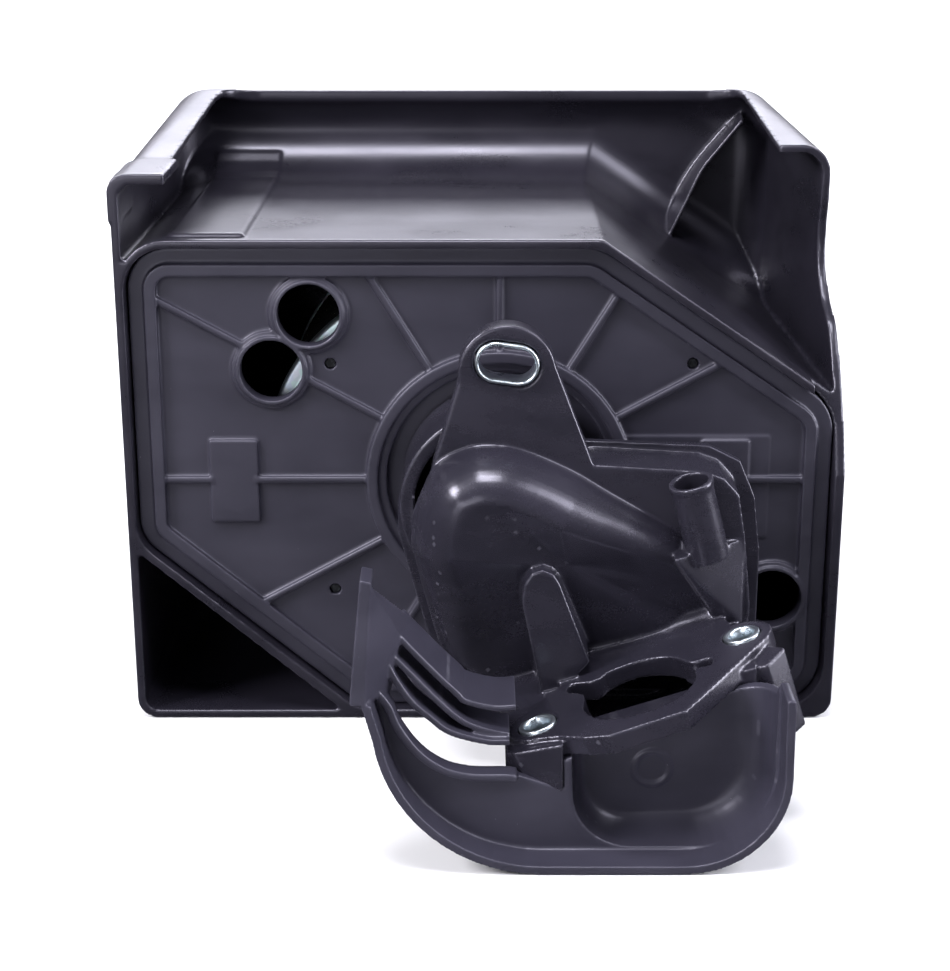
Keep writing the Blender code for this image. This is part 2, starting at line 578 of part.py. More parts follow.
def pocket_rings(wall, front, back, steps=5):
    """Bowl pressed back into the guard under the flange: steep at its edge, flat at the bottom."""
    mouth = pocket_outline([(17.6, -40.0), (18.6, -70.9), (69.8, -70.9), (69.6, -29.0)],
                           [0.3, 15.0, 21.0, 0.3], wall, UNDER)
    face = pocket_outline([(21.5, -40.0), (23.0, -67.4), (60.8, -65.0), (60.4, -29.0)],
                          [0.3, 11.0, 14.0, 0.3], wall, UNDER + 1.2)
    rings = []
    for k in range(steps + 1):
        a = math.pi / 2.0 * k / steps
        t = 1.0 - math.cos(a)
        y = front + (back - front) * math.sin(a)
        rings.append([(p[0] + (q[0] - p[0]) * t, y, p[1] + (q[1] - p[1]) * t)
                      for p, q in zip(mouth, face)])
    return rings


def build_guard():
    edge_in = [(70.8, -26.0), (68.0, flange_z(68.0) - UNDER), (16.0, flange_z(16.0) - UNDER), (15.9, -56.0),
               (0.4, -51.4)]
    rim_line = inset(GUARD_OUTER, GUARD_T / 2.0)[1:]
    floor_line = [(-34.6, -25.5)] + inset(GUARD_OUTER, GUARD_T * 0.6)[1:]
    arc_line = [(x - 0.5, z - 0.8) for x, z in GUARD_ARC]
    guard = prism("carburetor_guard", floor_line + edge_in + arc_line, GUARD_FLOOR, GUARD_BACK, BLACK)
    join(guard, prism("guard_rim_tool", thick_line(rim_line[::-1], GUARD_T), GUARD_RIM, GUARD_BACK),
         prism("guard_arc_tool", wall_under(GUARD_ARC, 2.0), GUARD_RIM + 6.5, GUARD_BACK),
         prism("guard_post_tool", POST, GUARD_RIM, GUARD_FLOOR + 1.0),
         hull("guard_web_tool", [WEB_FRONT, WEB_BACK,
                                 [(x - 1.5, y, z - 1.0) for x, y, z in WEB_FRONT + WEB_BACK]]))
    for i, (line, front, back) in enumerate(GUARD_WALLS):
        join(guard, prism("guard_wall_tool_%d" % (i + 1), wall_under(line, 1.6), front, back))
    shell = finish("guard_pocket_shell_tool", loft_bmesh(
        pocket_rings(2.1, GUARD_FLOOR - 0.1, DUCT_FRONT - 0.4)), None, True)
    hollow = pocket_rings(0.0, GUARD_FLOOR, POCKET_FACE)
    hollow.insert(0, [(x, GUARD_FLOOR - 8.0, z) for x, _, z in hollow[0]])
    join(guard, shell)
    cut(guard, finish("guard_pocket_tool", loft_bmesh(hollow), None, True))
    return guard


# ---------------------------------------------------------------- cover
def cover_rings(shrink, front, far):
    """Rounded-box sections of the cover from rim to far face, pulled in by a wall thickness."""
    def section(t, y, extra):
        left, right, bottom, top = (a + (b - a) * t for a, b in zip(COVER_RIM, COVER_FAR))
        d, radius = shrink + extra, COVER_R + (COVER_FAR_R - COVER_R) * t
        return flat_ring(rounded_box(left + d, right - d, bottom + d, top - d, max(1.2, radius - d)), y)
    rings = [section(0.0, front, 0.0)]
    round_r = 11.0
    for k in range(5):
        a = math.pi / 2.0 * k / 4
        rings.append(section(1.0, far - round_r + round_r * math.sin(a), round_r * (1.0 - math.cos(a))))
    return rings


NOTCH_LEFT = [(-92.8, -30.0), (-92.8, 0.0), (-93.6, 16.4), (-91.0, 96.6), (-89.2, 104.5), (-85.0, 108.6),
              (-78.0, 110.0)]
NOTCH_RIGHT = [(70.0, 110.0), (77.0, 107.5), (80.4, 101.5), (82.1, 29.0), (82.1, -30.0)]
GUSSET_EDGE = [(57.4, 51.7), (64.0, 64.0), (69.0, 74.5), (74.0, 81.0), (81.0, 90.0)]
GUSSET_ROOT = [(56.0, 56.0), (60.2, 62.0), (66.0, 72.0), (72.5, 80.6), (82.5, 92.0)]
STEP_BACK = [(93.0 + 21.3 * math.sin(a), 72.3 - 1.26 * a + 16.0 * (1.0 - math.cos(a)))
             for a in (0.0, 0.26, 0.52, 0.79, 1.05)]        # the step fades out up the far wall's fillet


def lip_band():
    """Thicker band round the upper left corner of the rim."""
    def ring(shift, drop, y):
        return [(x + shift, y, z + drop) for x, z in (
            (-109.1, 76.0), (-109.1, 85.0), (-107.6, 88.3), (-104.0, 89.5), (-92.8, 89.5), (-92.8, 86.6),
            (-103.0, 86.6), (-106.0, 84.0), (-106.0, 76.0))]
    rings = [ring(0.0, 0.0, RIM_Y), ring(1.0, 1.4, 16.2)]
    return finish("cover_lip_band_tool", loft_bmesh(rings), None, True)


def build_cover():
    cover = finish("cover_shell", loft_bmesh(cover_rings(0.0, RIM_Y, FAR_OUT)), BLACK)
    dead = finish("cover_dead_space_tool", loft_bmesh(cover_rings(WALL, RIM_Y - 3.0, FAR_IN)), None, True)
    corner_arc = arc_points((-93.1, CHAMBER_TOP - CHAMBER_R), CHAMBER_R, 150.0, 90.0, 5)
    keep_pts = [(-125.0, corner_arc[0][1])] + corner_arc + [
        (28.9, CHAMBER_TOP), (115.0, 12.3), (115.0, -90.0), (-25.3, -90.0), (-125.0, -5.0)]
    rings = [flat_ring(keep_pts, -20.0), flat_ring(keep_pts, 93.0)]
    for k in range(1, 6):
        a = math.pi / 2.0 * k / 5
        spread = 16.0 * (1.0 - math.cos(a))
        rings.append(flat_ring(inset(keep_pts, -spread), 93.0 + (FAR_IN - 92.9) * math.sin(a)))
    rings.append(flat_ring(inset(keep_pts, -16.0), 125.0))
    cut(dead, finish("cover_keep_tool", loft_bmesh(rings), None, True))
    clear = rounded(PLATE_OUTLINE, PLATE_CORNER_R)
    far_pts = [(-104.4, 68.3), (25.0, 68.3), (86.5, 26.2), (86.5, -71.0), (-42.0, -71.0), (-104.4, -20.0)]
    far = rounded(far_pts, PLATE_CORNER_R)
    chamber = finish("cover_chamber_tool", loft_bmesh([
        flat_ring(inset(clear, -0.4), -20.0), flat_ring(inset(clear, -0.4), 8.0),
        flat_ring(inset(far, -0.1), FAR_IN - 8.0), flat_ring(inset(far, 4.0), FAR_IN)]), None, True)
    notch = prism_z("cover_notch_tool", NOTCH_LEFT + NOTCH_RIGHT, NOTCH_Z, 130.0)
    step_pts = [(113.0, 69.5), (-0.5, 69.5), (-0.5, 72.3)] + STEP_BACK
    step = prism_x("cover_step_tool", step_pts, -93.1, -72.0)
    gusset = finish("cover_gusset_tool", loft_bmesh([
        flat_ring(thick_line(GUSSET_EDGE, 1.8), 100.0), flat_ring(thick_line(GUSSET_ROOT, 1.8), 116.4)]),
        None, True)
    cut(cover, dead, chamber, notch)
    join(cover, step, gusset, lip_band())
    right = prism_x("cover_right_rim_tool", [
        (-30.0, 20.0), (-3.0, 20.0), (4.0, 27.0), (10.0, 36.0), (15.0, 45.0), (24.0, 49.5), (31.0, 54.5),
        (35.0, 61.0), (35.0, 68.0), (32.0, 75.0), (31.0, 80.0), (31.0, 130.0), (-30.0, 130.0)], 90.0, 130.0)
    corner_pts = [(-30.0, 76.0), (31.0, 76.0), (31.0, 130.0), (-30.0, 130.0)]
    corner = prism_x("cover_corner_tool", corner_pts, 70.0, 130.0)
    hole = prism("cover_hole_tool", circle(7.5, 28), 90.0, 140.0)
    panel_pts = rounded_box(-84.0, 66.0, -56.0, 80.0, 10.0)
    panel = prism("cover_panel_tool", panel_pts, FAR_OUT - 0.5, FAR_OUT + 0.7)
    dish = prism("cover_dish_tool", circle(27.0, 40), FAR_OUT - 0.02, FAR_OUT + 5.0)
    cut(cover, right, corner)
    join(cover, panel)
    cut(cover, dish, hole)
    return cover


# ---------------------------------------------------------------- filter element
def sheet_cap(name, profile, hole):
    """Pressed cap: rings that run from the hole out to the skirt and back."""
    return finish(name, loft_bmesh([flat_ring(hole(d) if inner else stadium(ELEMENT_R - d, ELEMENT_HALF), y)
                                    for inner, d, y in profile], True), SHEET_STEEL)


def build_outlet_cap():
    t = SHEET
    profile = [(True, 0.0, 13.2), (True, 0.0, CAP_FACE + 0.8), (True, -0.8, CAP_FACE), (False, 6.2, CAP_FACE),
               (False, 5.2, CAP_FACE + 0.6), (False, 4.6, CAP_RIM), (False, 0.9, CAP_RIM),
               (False, 0.0, CAP_RIM + 0.9), (False, 0.0, CAP_SKIRT), (False, t, CAP_SKIRT),
               (False, t, CAP_RIM + t), (False, 4.6 + t, CAP_RIM + t), (False, 6.2, CAP_FACE + t),
               (True, -t, CAP_FACE + t), (True, -t, 13.2)]
    return sheet_cap("element_outlet_cap", profile, lambda d: flatted_circle(HOLE_R - d, HOLE_FLAT - d))


def build_end_cap():
    t = SHEET
    profile = [(True, 0.0, END_OUT - 1.2 - t), (True, 0.0, END_OUT - 1.2), (False, 30.0, END_OUT - 1.2),
               (False, 26.0, END_OUT), (False, 3.0, END_OUT), (False, 0.9, END_OUT - 1.0),
               (False, 0.9, END_IN - 3.0), (False, 0.9 + t, END_IN - 3.0),
               (False, 0.9 + t, END_OUT - t - 0.6), (False, 3.0, END_OUT - t), (False, 26.0, END_OUT - t),
               (False, 30.0, END_OUT - 1.2 - t)]
    return sheet_cap("element_end_cap", profile, lambda d: circle_by_angle(3.6 - d))


def circle_by_angle(radius, count=48):
    return by_angle(lambda c, s: radius, count)


def build_paper():
    """Pleated strip closed on itself, thick enough to be a solid."""
    path = []
    for i in range(PLEATS):
        for radius, offset in ((PLEAT_IN, -0.16), (PLEAT_IN, 0.16), (PLEAT_OUT, 0.39), (PLEAT_OUT, 0.61)):
            angle = 2.0 * math.pi * (i + offset) / PLEATS
            half = ELEMENT_HALF * (radius - 24.0) / (PLEAT_OUT - 24.0)
            c, s = math.cos(angle), math.sin(angle)
            flat = radius - 1.0
            if abs(s) * half > flat * abs(c):
                reach = flat / abs(s)
            else:
                reach = half * abs(c) + math.sqrt(max(0.0, flat ** 2 - (half * s) ** 2))
            path.append((reach * c, reach * s))
    outer, inner = inset(path, -0.28), inset(path, 0.28)
    y0, y1 = 13.6, END_IN
    rings = [flat_ring(outer, y0), flat_ring(outer, y1), flat_ring(inner, y1), flat_ring(inner, y0)]
    return finish("pleated_paper", loft_bmesh(rings, True), PAPER)


def build_sleeve():
    rings = [flat_ring(stadium(r, ELEMENT_HALF), y) for r, y in (
        (SLEEVE_OUT, CAP_SKIRT + GAP), (SLEEVE_OUT, END_IN - 3.4), (SLEEVE_IN, END_IN - 3.4),
        (SLEEVE_IN, CAP_SKIRT + GAP))]
    return finish("foam_sleeve", loft_bmesh(rings, True), FOAM)


# ---------------------------------------------------------------- fasteners and small parts
def build_knob():
    """Lobed hand knob with a pocket for its threaded insert."""
    def lobes(scale):
        return by_angle(lambda c, s: scale * (KNOB_R - 1.6 + 1.6 * math.cos(5.0 * math.atan2(s, c))), 40)
    rings = [flat_ring(lobes(0.94), KNOB_FACE), flat_ring(lobes(1.0), KNOB_FACE + 1.2),
             flat_ring(lobes(0.97), KNOB_TOP - 4.0), flat_ring(lobes(0.88), KNOB_TOP - 1.2),
             flat_ring(lobes(0.74), KNOB_TOP)]
    knob = finish("cover_knob", loft_bmesh(rings), DARK)
    pocket = prism("knob_pocket_tool", circle(5.3, 24), KNOB_FACE - 3.0, KNOB_FACE + 9.3)
    cut(knob, pocket)
    return knob


def build_wing_nut():
    nut = prism("element_wing_nut", circle(6.2, 24), 98.1, 104.5, STEEL)
    for side in (-1, 1):
        wing = [(side * 3.8, 99.0), (side * 7.0, 99.0), (side * 15.5, 105.5), (side * 15.0, 110.5),
                (side * 12.0, 111.0), (side * 7.5, 105.5), (side * 3.8, 103.8)]
        rings = [[(x, y, z) for x, y in wing] for z in (-1.3, 1.3)]
        join(nut, finish("wing_tool_%d" % (side + 2), loft_bmesh(rings), None, True))
    cut(nut, prism("wing_bore_tool", circle(STUD_BORE, 20), 90.0, 120.0))
    return nut


def build_small_parts():
    tube("elbow_gasket", 27.6, 20.0, RECESS_FLOOR - 1.3, RECESS_FLOOR - GAP, RUBBER, count=40)
    hexagon = [(9.8 * math.cos(math.radians(60 * i)) / math.sqrt(3), 9.8 * math.sin(math.radians(60 * i))
                / math.sqrt(3)) for i in range(6)]
    lock = prism("stud_lock_nut", hexagon, 1.3, 5.9, STEEL)
    cut(lock, prism("lock_bore_tool", circle(STUD_BORE, 16), -2.0, 9.0))
    finish("center_stud", loft_bmesh([flat_ring(circle(r, 20), y) for r, y in (
        (STUD_R - 0.7, STUD_START), (STUD_R, STUD_START + 0.8), (STUD_R, STUD_END - 1.0),
        (STUD_R - 0.9, STUD_END))]), STEEL)
    rings = [flat_ring(slot_outline(h, r), y) for h, r, y in (
        (8.65, 5.6, -41.0), (8.65, 5.6, -31.8), (7.65, 4.6, -31.8), (7.65, 4.6, -41.0))]
    finish("tab_sleeve", loft_bmesh(rings, True), STEEL)
    for name, side in (("flange_sleeve_left", -1), ("flange_sleeve_right", 1)):
        rings = [[on_flange(u, w, drop) for u, w in circle(r, 24, (side * EAR_U, side * EAR_W))]
                 for r, drop in ((5.0, -0.4), (5.0, 6.5), (3.5, 6.5), (3.5, -0.4))]
        finish(name, loft_bmesh(rings, True), STEEL)


def build_inner_parts():
    seat_pts = rounded_box(-58.0, 64.0, -44.0, 44.0, 18.0)
    seat = prism("element_seat", seat_pts, PLATE_T + GAP, PLATE_T + 1.5, SHEET_STEEL)
    cut(seat, prism("seat_hole_tool", circle(34.4, 40), -2.0, 9.0))
    cut(seat, prism("seat_inlet_tool", circle(11.5, 24, INLETS[0]), -2.0, 9.0))
    cut(seat, prism("seat_inlet_tool_b", circle(11.5, 24, INLETS[1]), -2.0, 9.0))
    for i, centre in enumerate(SCREWS):
        cut(seat, prism("seat_screw_tool_%d" % (i + 1), circle(1.65, 12, centre), -2.0, 9.0))
        finish("base_screw_%d" % (i + 1), loft_bmesh([flat_ring(circle(r, 16, centre), y) for r, y in (
            (1.3, 1.0), (1.3, 4.8), (2.9, 4.8), (2.9, 5.6), (1.9, 6.8))]), STEEL)
    outline = rounded(PLATE_OUTLINE, PLATE_CORNER_R)
    finish("plate_seal", loft_bmesh([flat_ring(inset(outline, d), y) for d, y in (
        (1.5, PLATE_T + GAP), (4.8, PLATE_T + GAP), (4.4, PLATE_T + 3.0), (1.9, PLATE_T + 3.0))], True),
        RUBBER)
    seal_rings = [flat_ring(ring, y) for ring, y in (
        (circle_by_angle(33.6, 40), LEDGE_BACK + GAP), (circle_by_angle(33.2, 40), CAP_FACE - GAP),
        (circle_by_angle(28.2, 40), CAP_FACE - GAP), (circle_by_angle(27.6, 40), LEDGE_BACK + GAP))]
    finish("element_gasket", loft_bmesh(seal_rings, True), RUBBER)


def build_stud_line():
    tube("element_washer", 11.0, STUD_BORE + 0.1, END_OUT - 1.2 + GAP, END_OUT + 0.8, RUBBER)
    turned("cover_grommet", [(3.4, 113.6), (9.6, 113.6), (9.6, 114.9), (7.1, 114.9), (7.1, 118.0),
                             (9.6, 118.0), (9.6, 119.2), (3.4, 119.2)], RUBBER)
    tube("cover_washer", 9.0, 3.4, 119.5, 120.6, STEEL)
    tube("knob_insert", 5.0, STUD_BORE, KNOB_FACE + 0.2, KNOB_FACE + 9.0, BRASS, count=24)


def main():
    build_base_plate()
    build_elbow()
    build_guard()
    build_cover()
    build_outlet_cap()
    build_end_cap()
    build_paper()
    build_sleeve()
    build_knob()
    build_wing_nut()
    build_small_parts()
    build_inner_parts()
    build_stud_line()


main()
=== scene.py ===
"""Looks of the air filter housing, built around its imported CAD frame.

Shapes are drawn in millimetres from the point where the stud axis crosses the outer face of the
base plate: x to the right, y along the stud into the cover, z up.  HUB places that point.
"""

import math

import bmesh
import bpy
import numpy as np
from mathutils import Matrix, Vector


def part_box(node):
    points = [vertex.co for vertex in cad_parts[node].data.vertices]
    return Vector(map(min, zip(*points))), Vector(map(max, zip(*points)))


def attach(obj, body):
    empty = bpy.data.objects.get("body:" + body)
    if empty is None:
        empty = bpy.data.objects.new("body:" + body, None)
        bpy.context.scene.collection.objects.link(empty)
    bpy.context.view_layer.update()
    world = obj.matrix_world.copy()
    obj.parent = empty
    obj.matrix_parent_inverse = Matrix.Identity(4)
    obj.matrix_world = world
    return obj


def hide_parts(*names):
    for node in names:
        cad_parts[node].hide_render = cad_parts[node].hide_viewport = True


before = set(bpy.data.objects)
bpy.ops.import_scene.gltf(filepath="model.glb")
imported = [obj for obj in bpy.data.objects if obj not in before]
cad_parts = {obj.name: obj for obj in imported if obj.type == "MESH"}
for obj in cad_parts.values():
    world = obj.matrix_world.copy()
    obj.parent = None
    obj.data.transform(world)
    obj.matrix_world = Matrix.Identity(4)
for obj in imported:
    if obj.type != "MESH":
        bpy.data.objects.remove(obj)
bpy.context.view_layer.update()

# ---------------------------------------------------------------- driving dimensions (mm)
MM = 0.001
STUD_START = -6.0
STUD_LOW, STUD_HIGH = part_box("center_stud")
HUB = Vector(((STUD_LOW.x + STUD_HIGH.x) / 2.0, STUD_LOW.y - STUD_START * MM,
              (STUD_LOW.z + STUD_HIGH.z) / 2.0))

PLATE_T, PLATE_RAISE, RECESS_FLOOR = 3.0, 2.2, 2.4
PLATE_OUTLINE = [(-105.3, 68.3), (28.0, 68.3), (96.5, 21.5), (96.5, -71.0), (-42.0, -71.0), (-105.3, -18.0)]
PLATE_CORNER_R = [12.0, 14.0, 14.0, 14.0, 12.0, 12.0]
SHELF_W, BORDER_W = 4.6, 8.0
RIB_W = 1.8
COLLAR_OUT, COLLAR_IN, RECESS_R = 38.5, 35.2, 32.7
LEDGE_BACK, BOSS_BACK = 6.0, 12.0
BOSS_R, BOSS_FLAT, BORE_R = 26.4, 21.4, 19.5
INLETS = [(-54.3, 49.2), (-65.3, 33.0), (80.8, -36.8)]
INLET_R, INLET_COLLAR_R = 8.9, 11.4
SCREWS = [(-48.5, 34.5), (55.5, 34.5), (-48.5, -34.5), (55.5, -34.5)]

WALL = 2.5
RIM_Y, FAR_IN, FAR_OUT = -5.0, 115.2, 117.7
COVER_RIM = (-108.4, 100.2, -74.0, 88.7)        # left, right, bottom, top at the rim
COVER_FAR = (-107.5, 92.5, -74.0, 100.0)
COVER_R, COVER_FAR_R = 6.0, 13.0
FAR_EDGE_R = 11.0               # rounding between the cover's sides and its far face
CHAMBER_R = 14.8                # outer corner of the chamber beside the cover's left wall
NOTCH_Z = 82.0                  # everything of the top wall inside the notch is above this
CHAMBER_TOP = 71.2
FILLET_Y, FILLET_RISE = 93.0, 16.0      # where the chamber's walls start to sweep up the far wall

ELEMENT_R, ELEMENT_HALF = 56.5, 13.0
CAP_FACE, CAP_SKIRT, END_IN = 8.2, 16.6, 91.6
HOLE_R, HOLE_FLAT = 27.0, 22.0
PLEATS, PLEAT_IN, PLEAT_OUT = 56, 29.0, 44.4
SLEEVE_IN, SLEEVE_OUT = 47.0, 55.0

STUD_R, STUD_BORE, STUD_END, PITCH = 2.9, 3.2, 127.0, 1.0
KNOB_FACE, KNOB_R = 120.9, 17.0

NECK_R, NECK_BORE = 28.0, 24.0
PLENUM_FRONT, PLENUM_BACK = -40.0, -20.0
TAB_C, TAB_R, TAB_T = (1.5, 42.0), 13.1, 8.0
SLOT_C, SLOT_TILT = (1.5, 44.8), math.radians(-8.0)
FLANGE_C = Vector((36.6, -69.0, -33.3))
FLANGE_TILT = math.radians(18.0)
FLANGE_T = 5.5
EAR_U, EAR_W, EAR_R, EAR_BORE = 28.8, 9.0, 8.2, 5.3
STUB_R, STUB_BORE = 6.1, 4.7
STUB_TOP, STUB_FOOT = Vector((50.5, -47.0, 14.5)), Vector((56.4, -44.6, -8.0))

GUARD_RIM, GUARD_FLOOR, GUARD_BACK, GUARD_T = -100.0, -90.6, -88.0, 2.3
POCKET_FACE, DUCT_FRONT = -79.3, -76.6
UNDER = 6.2                                     # drop from the flange face to the top of the guard

ROUND = 72                     # points on a full circle
ARC = 10                        # points on a corner


# ---------------------------------------------------------------- shape tools
TOOLS = []


def finish(name, bm, cutter=True):
    """Turn a bmesh drawn in millimetres into an object placed at the hub."""
    quads = [face for face in bm.faces if len(face.verts) == 4]
    bmesh.ops.connect_verts_nonplanar(bm, angle_limit=0.002, faces=quads)
    bmesh.ops.recalc_face_normals(bm, faces=bm.faces)
    bmesh.ops.scale(bm, vec=(MM, MM, MM), verts=bm.verts)
    mesh = bpy.data.meshes.new(name)
    bm.to_mesh(mesh)
    bm.free()
    obj = bpy.data.objects.new(name, mesh)
    obj.location = HUB
    bpy.context.scene.collection.objects.link(obj)
    if cutter:
        TOOLS.append(obj)
    return obj


def loft_bmesh(rings, ring_of_rings=False):
    """Skin equal-length closed rings; the ends are capped, or joined up into a ring of rings."""
    bm = bmesh.new()
    loops = [[bm.verts.new(p) for p in ring] for ring in rings]
    count = len(rings[0])
    pairs = list(zip(loops, loops[1:]))
    if ring_of_rings:
        pairs.append((loops[-1], loops[0]))
    for low, high in pairs:
        for i in range(count):
            j = (i + 1) % count
            bm.faces.new((low[i], low[j], high[j], high[i]))
    if not ring_of_rings:
        bm.faces.new(loops[0][::-1])
        bm.faces.new(loops[-1])
    return bm


def loft(name, rings, ring_of_rings=False, cutter=True):
    return finish(name, loft_bmesh(rings, ring_of_rings), cutter)


def hull(name, rings):
    """Smallest convex solid around some rings of points."""
    bm = bmesh.new()
    for ring in rings:
        for point in ring:
            bm.verts.new(point)
    result = bmesh.ops.convex_hull(bm, input=bm.verts)
    inside = [v for v in result["geom_interior"] if isinstance(v, bmesh.types.BMVert)]
    bmesh.ops.delete(bm, geom=inside, context="VERTS")
    bmesh.ops.dissolve_limit(bm, angle_limit=0.002, verts=bm.verts, edges=bm.edges)
    return finish(name, bm)


def flat_ring(outline, y):
    return [(x, y, z) for x, z in outline]


def blend_ring(first, second, t, y):
    """Outline part of the way from one outline to another."""
    return [(a[0] + (b[0] - a[0]) * t, y, a[1] + (b[1] - a[1]) * t) for a, b in zip(first, second)]


def prism(name, outline, y0, y1, cutter=True):
    return loft(name, [flat_ring(outline, y0), flat_ring(outline, y1)], False, cutter)


def prism_x(name, outline_yz, x0, x1):
    return loft(name, [[(x, y, z) for y, z in outline_yz] for x in (x0, x1)])


def prism_z(name, outline_xy, z0, z1):
    return loft(name, [[(x, y, z) for x, y in outline_xy] for z in (z0, z1)])


def circle(radius, count=None, centre=(0.0, 0.0)):
    count = count or ROUND
    step = 2.0 * math.pi / count
    return [(centre[0] + radius * math.cos(i * step), centre[1] + radius * math.sin(i * step))
            for i in range(count)]


def turned(name, profile, count=None, centre=(0.0, 0.0), cutter=True):
    """Ring of revolution about Y from a closed (radius, y) profile."""
    rings = [flat_ring(circle(r, count, centre), y) for r, y in profile]
    return loft(name, rings, True, cutter)


def rounded(points, radii, steps=None):
    """Replace each corner of a convex polygon by an arc."""
    steps = steps or ARC
    out = []
    count = len(points)
    for i, point in enumerate(points):
        here = Vector(point)
        to_prev = (Vector(points[i - 1]) - here).normalized()
        to_next = (Vector(points[(i + 1) % count]) - here).normalized()
        half = to_prev.angle(to_next) / 2.0
        radius = radii[i]
        centre = here + (to_prev + to_next).normalized() * (radius / math.sin(half))
        start = here + to_prev * (radius / math.tan(half)) - centre
        end = here + to_next * (radius / math.tan(half)) - centre
        sweep = start.angle_signed(end)
        for k in range(steps + 1):
            turn = -sweep * k / steps
            c, s = math.cos(turn), math.sin(turn)
            out.append((centre.x + start.x * c - start.y * s, centre.y + start.x * s + start.y * c))
    return out


def inset(points, distance):
    """Move every edge of a polygon inwards (negative: outwards) with mitred corners."""
    count = len(points)
    area = sum(points[i - 1][0] * points[i][1] - points[i][0] * points[i - 1][1] for i in range(count))
    side = 1.0 if area > 0 else -1.0
    out = []
    for i in range(count):
        a, b, c = (Vector(points[k % count]) for k in (i - 1, i, i + 1))
        d0, d1 = (b - a).normalized(), (c - b).normalized()
        n0, n1 = Vector((-d0.y, d0.x)) * side, Vector((-d1.y, d1.x)) * side
        move = (n0 + n1) * (distance / max(0.35, 1.0 + n0.dot(n1)))
        out.append((b.x + move.x, b.y + move.y))
    return out


def smooth_line(points, closed=False, steps=6):
    """Catmull-Rom curve through points."""
    count = len(points)
    out = []
    spans = count if closed else count - 1
    for i in range(spans):
        p = [Vector(points[k % count] if closed else points[min(max(k, 0), count - 1)])
             for k in (i - 1, i, i + 1, i + 2)]
        for s in range(steps):
            t = s / steps
            out.append(tuple(0.5 * (2.0 * p[1] + (p[2] - p[0]) * t
                                    + (2.0 * p[0] - 5.0 * p[1] + 4.0 * p[2] - p[3]) * t ** 2
                                    + (3.0 * p[1] - p[0] - 3.0 * p[2] + p[3]) * t ** 3)))
    if not closed:
        out.append(tuple(points[-1]))
    return out


def rounded_box(left, right, bottom, top, radius, steps=None):
    corners = [(left, bottom), (right, bottom), (right, top), (left, top)]
    return rounded(corners, [radius] * 4, steps)


def by_angle(limit, count):
    """Closed outline from a function giving the distance along each direction."""
    out = []
    for i in range(count):
        angle = 2.0 * math.pi * (i + 0.5) / count
        reach = limit(math.cos(angle), math.sin(angle))
        out.append((reach * math.cos(angle), reach * math.sin(angle)))
    return out


def stadium_reach(radius, half, c, s):
    if abs(s) * half > radius * abs(c) and abs(s) > 1e-9:
        return radius / abs(s)
    return half * abs(c) + math.sqrt(max(0.0, radius ** 2 - (half * s) ** 2))


def stadium(radius, half, count):
    return by_angle(lambda c, s: stadium_reach(radius, half, c, s), count)


def circle_by_angle(radius, count):
    return by_angle(lambda c, s: radius, count)


def flatted_circle(radius, flat, count):
    return by_angle(lambda c, s: min(radius, flat / max(abs(s), 1e-9)), count)


def arc_points(centre, radius, first, last, steps):
    """Points along a circular arc, angles in degrees."""
    out = []
    for k in range(steps + 1):
        angle = math.radians(first + (last - first) * k / steps)
        out.append((centre[0] + radius * math.cos(angle), centre[1] + radius * math.sin(angle)))
    return out


def thick_line(points, width):
    """Band of constant width around a polyline, for curved walls."""
    left, right = [], []
    for i, point in enumerate(points):
        here = Vector(point)
        along = (Vector(points[min(i + 1, len(points) - 1)]) - Vector(points[max(i - 1, 0)])).normalized()
        normal = Vector((-along.y, along.x)) * width / 2.0
        left.append(tuple(here + normal))
        right.append(tuple(here - normal))
    return left + right[::-1]


def add_boolean(obj, tool, operation):
    mod = obj.modifiers.new(tool.name, "BOOLEAN")
    mod.operation = operation
    mod.solver = "EXACT"
    mod.object = tool


def join(obj, *tools):
    for tool in tools:
        add_boolean(obj, tool, "UNION")


def cut(obj, *tools):
    for tool in tools:
        add_boolean(obj, tool, "DIFFERENCE")


def mould(obj, voxel=0.0, soften=3):
    """Settle the booleans into one mesh whose edges are rounded off like a moulding's."""
    if voxel:
        remesh = obj.modifiers.new("even", "REMESH")
        remesh.mode = "VOXEL"
        remesh.voxel_size = voxel * MM * 1.0
        soft = obj.modifiers.new("soften", "SMOOTH")
        soft.factor = 0.5
        soft.iterations = soften
    depsgraph = bpy.context.evaluated_depsgraph_get()
    mesh = bpy.data.meshes.new_from_object(obj.evaluated_get(depsgraph))
    obj.modifiers.clear()
    obj.data = mesh
    for poly in mesh.polygons:
        poly.use_smooth = True
    for tool in TOOLS:
        bpy.data.objects.remove(tool, do_unlink=True)
    TOOLS.clear()
    return obj


def dress(obj, mat, body, node):
    """Give a piece its material and its body, and hide the CAD node it stands for."""
    obj.data.materials.clear()
    obj.data.materials.append(mat)
    for poly in obj.data.polygons:
        poly.material_index = 0
    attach(obj, body)
    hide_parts(node)


# ---------------------------------------------------------------- materials
RANGE_SOCKETS = ("From Min", "From Max", "To Min", "To Max")


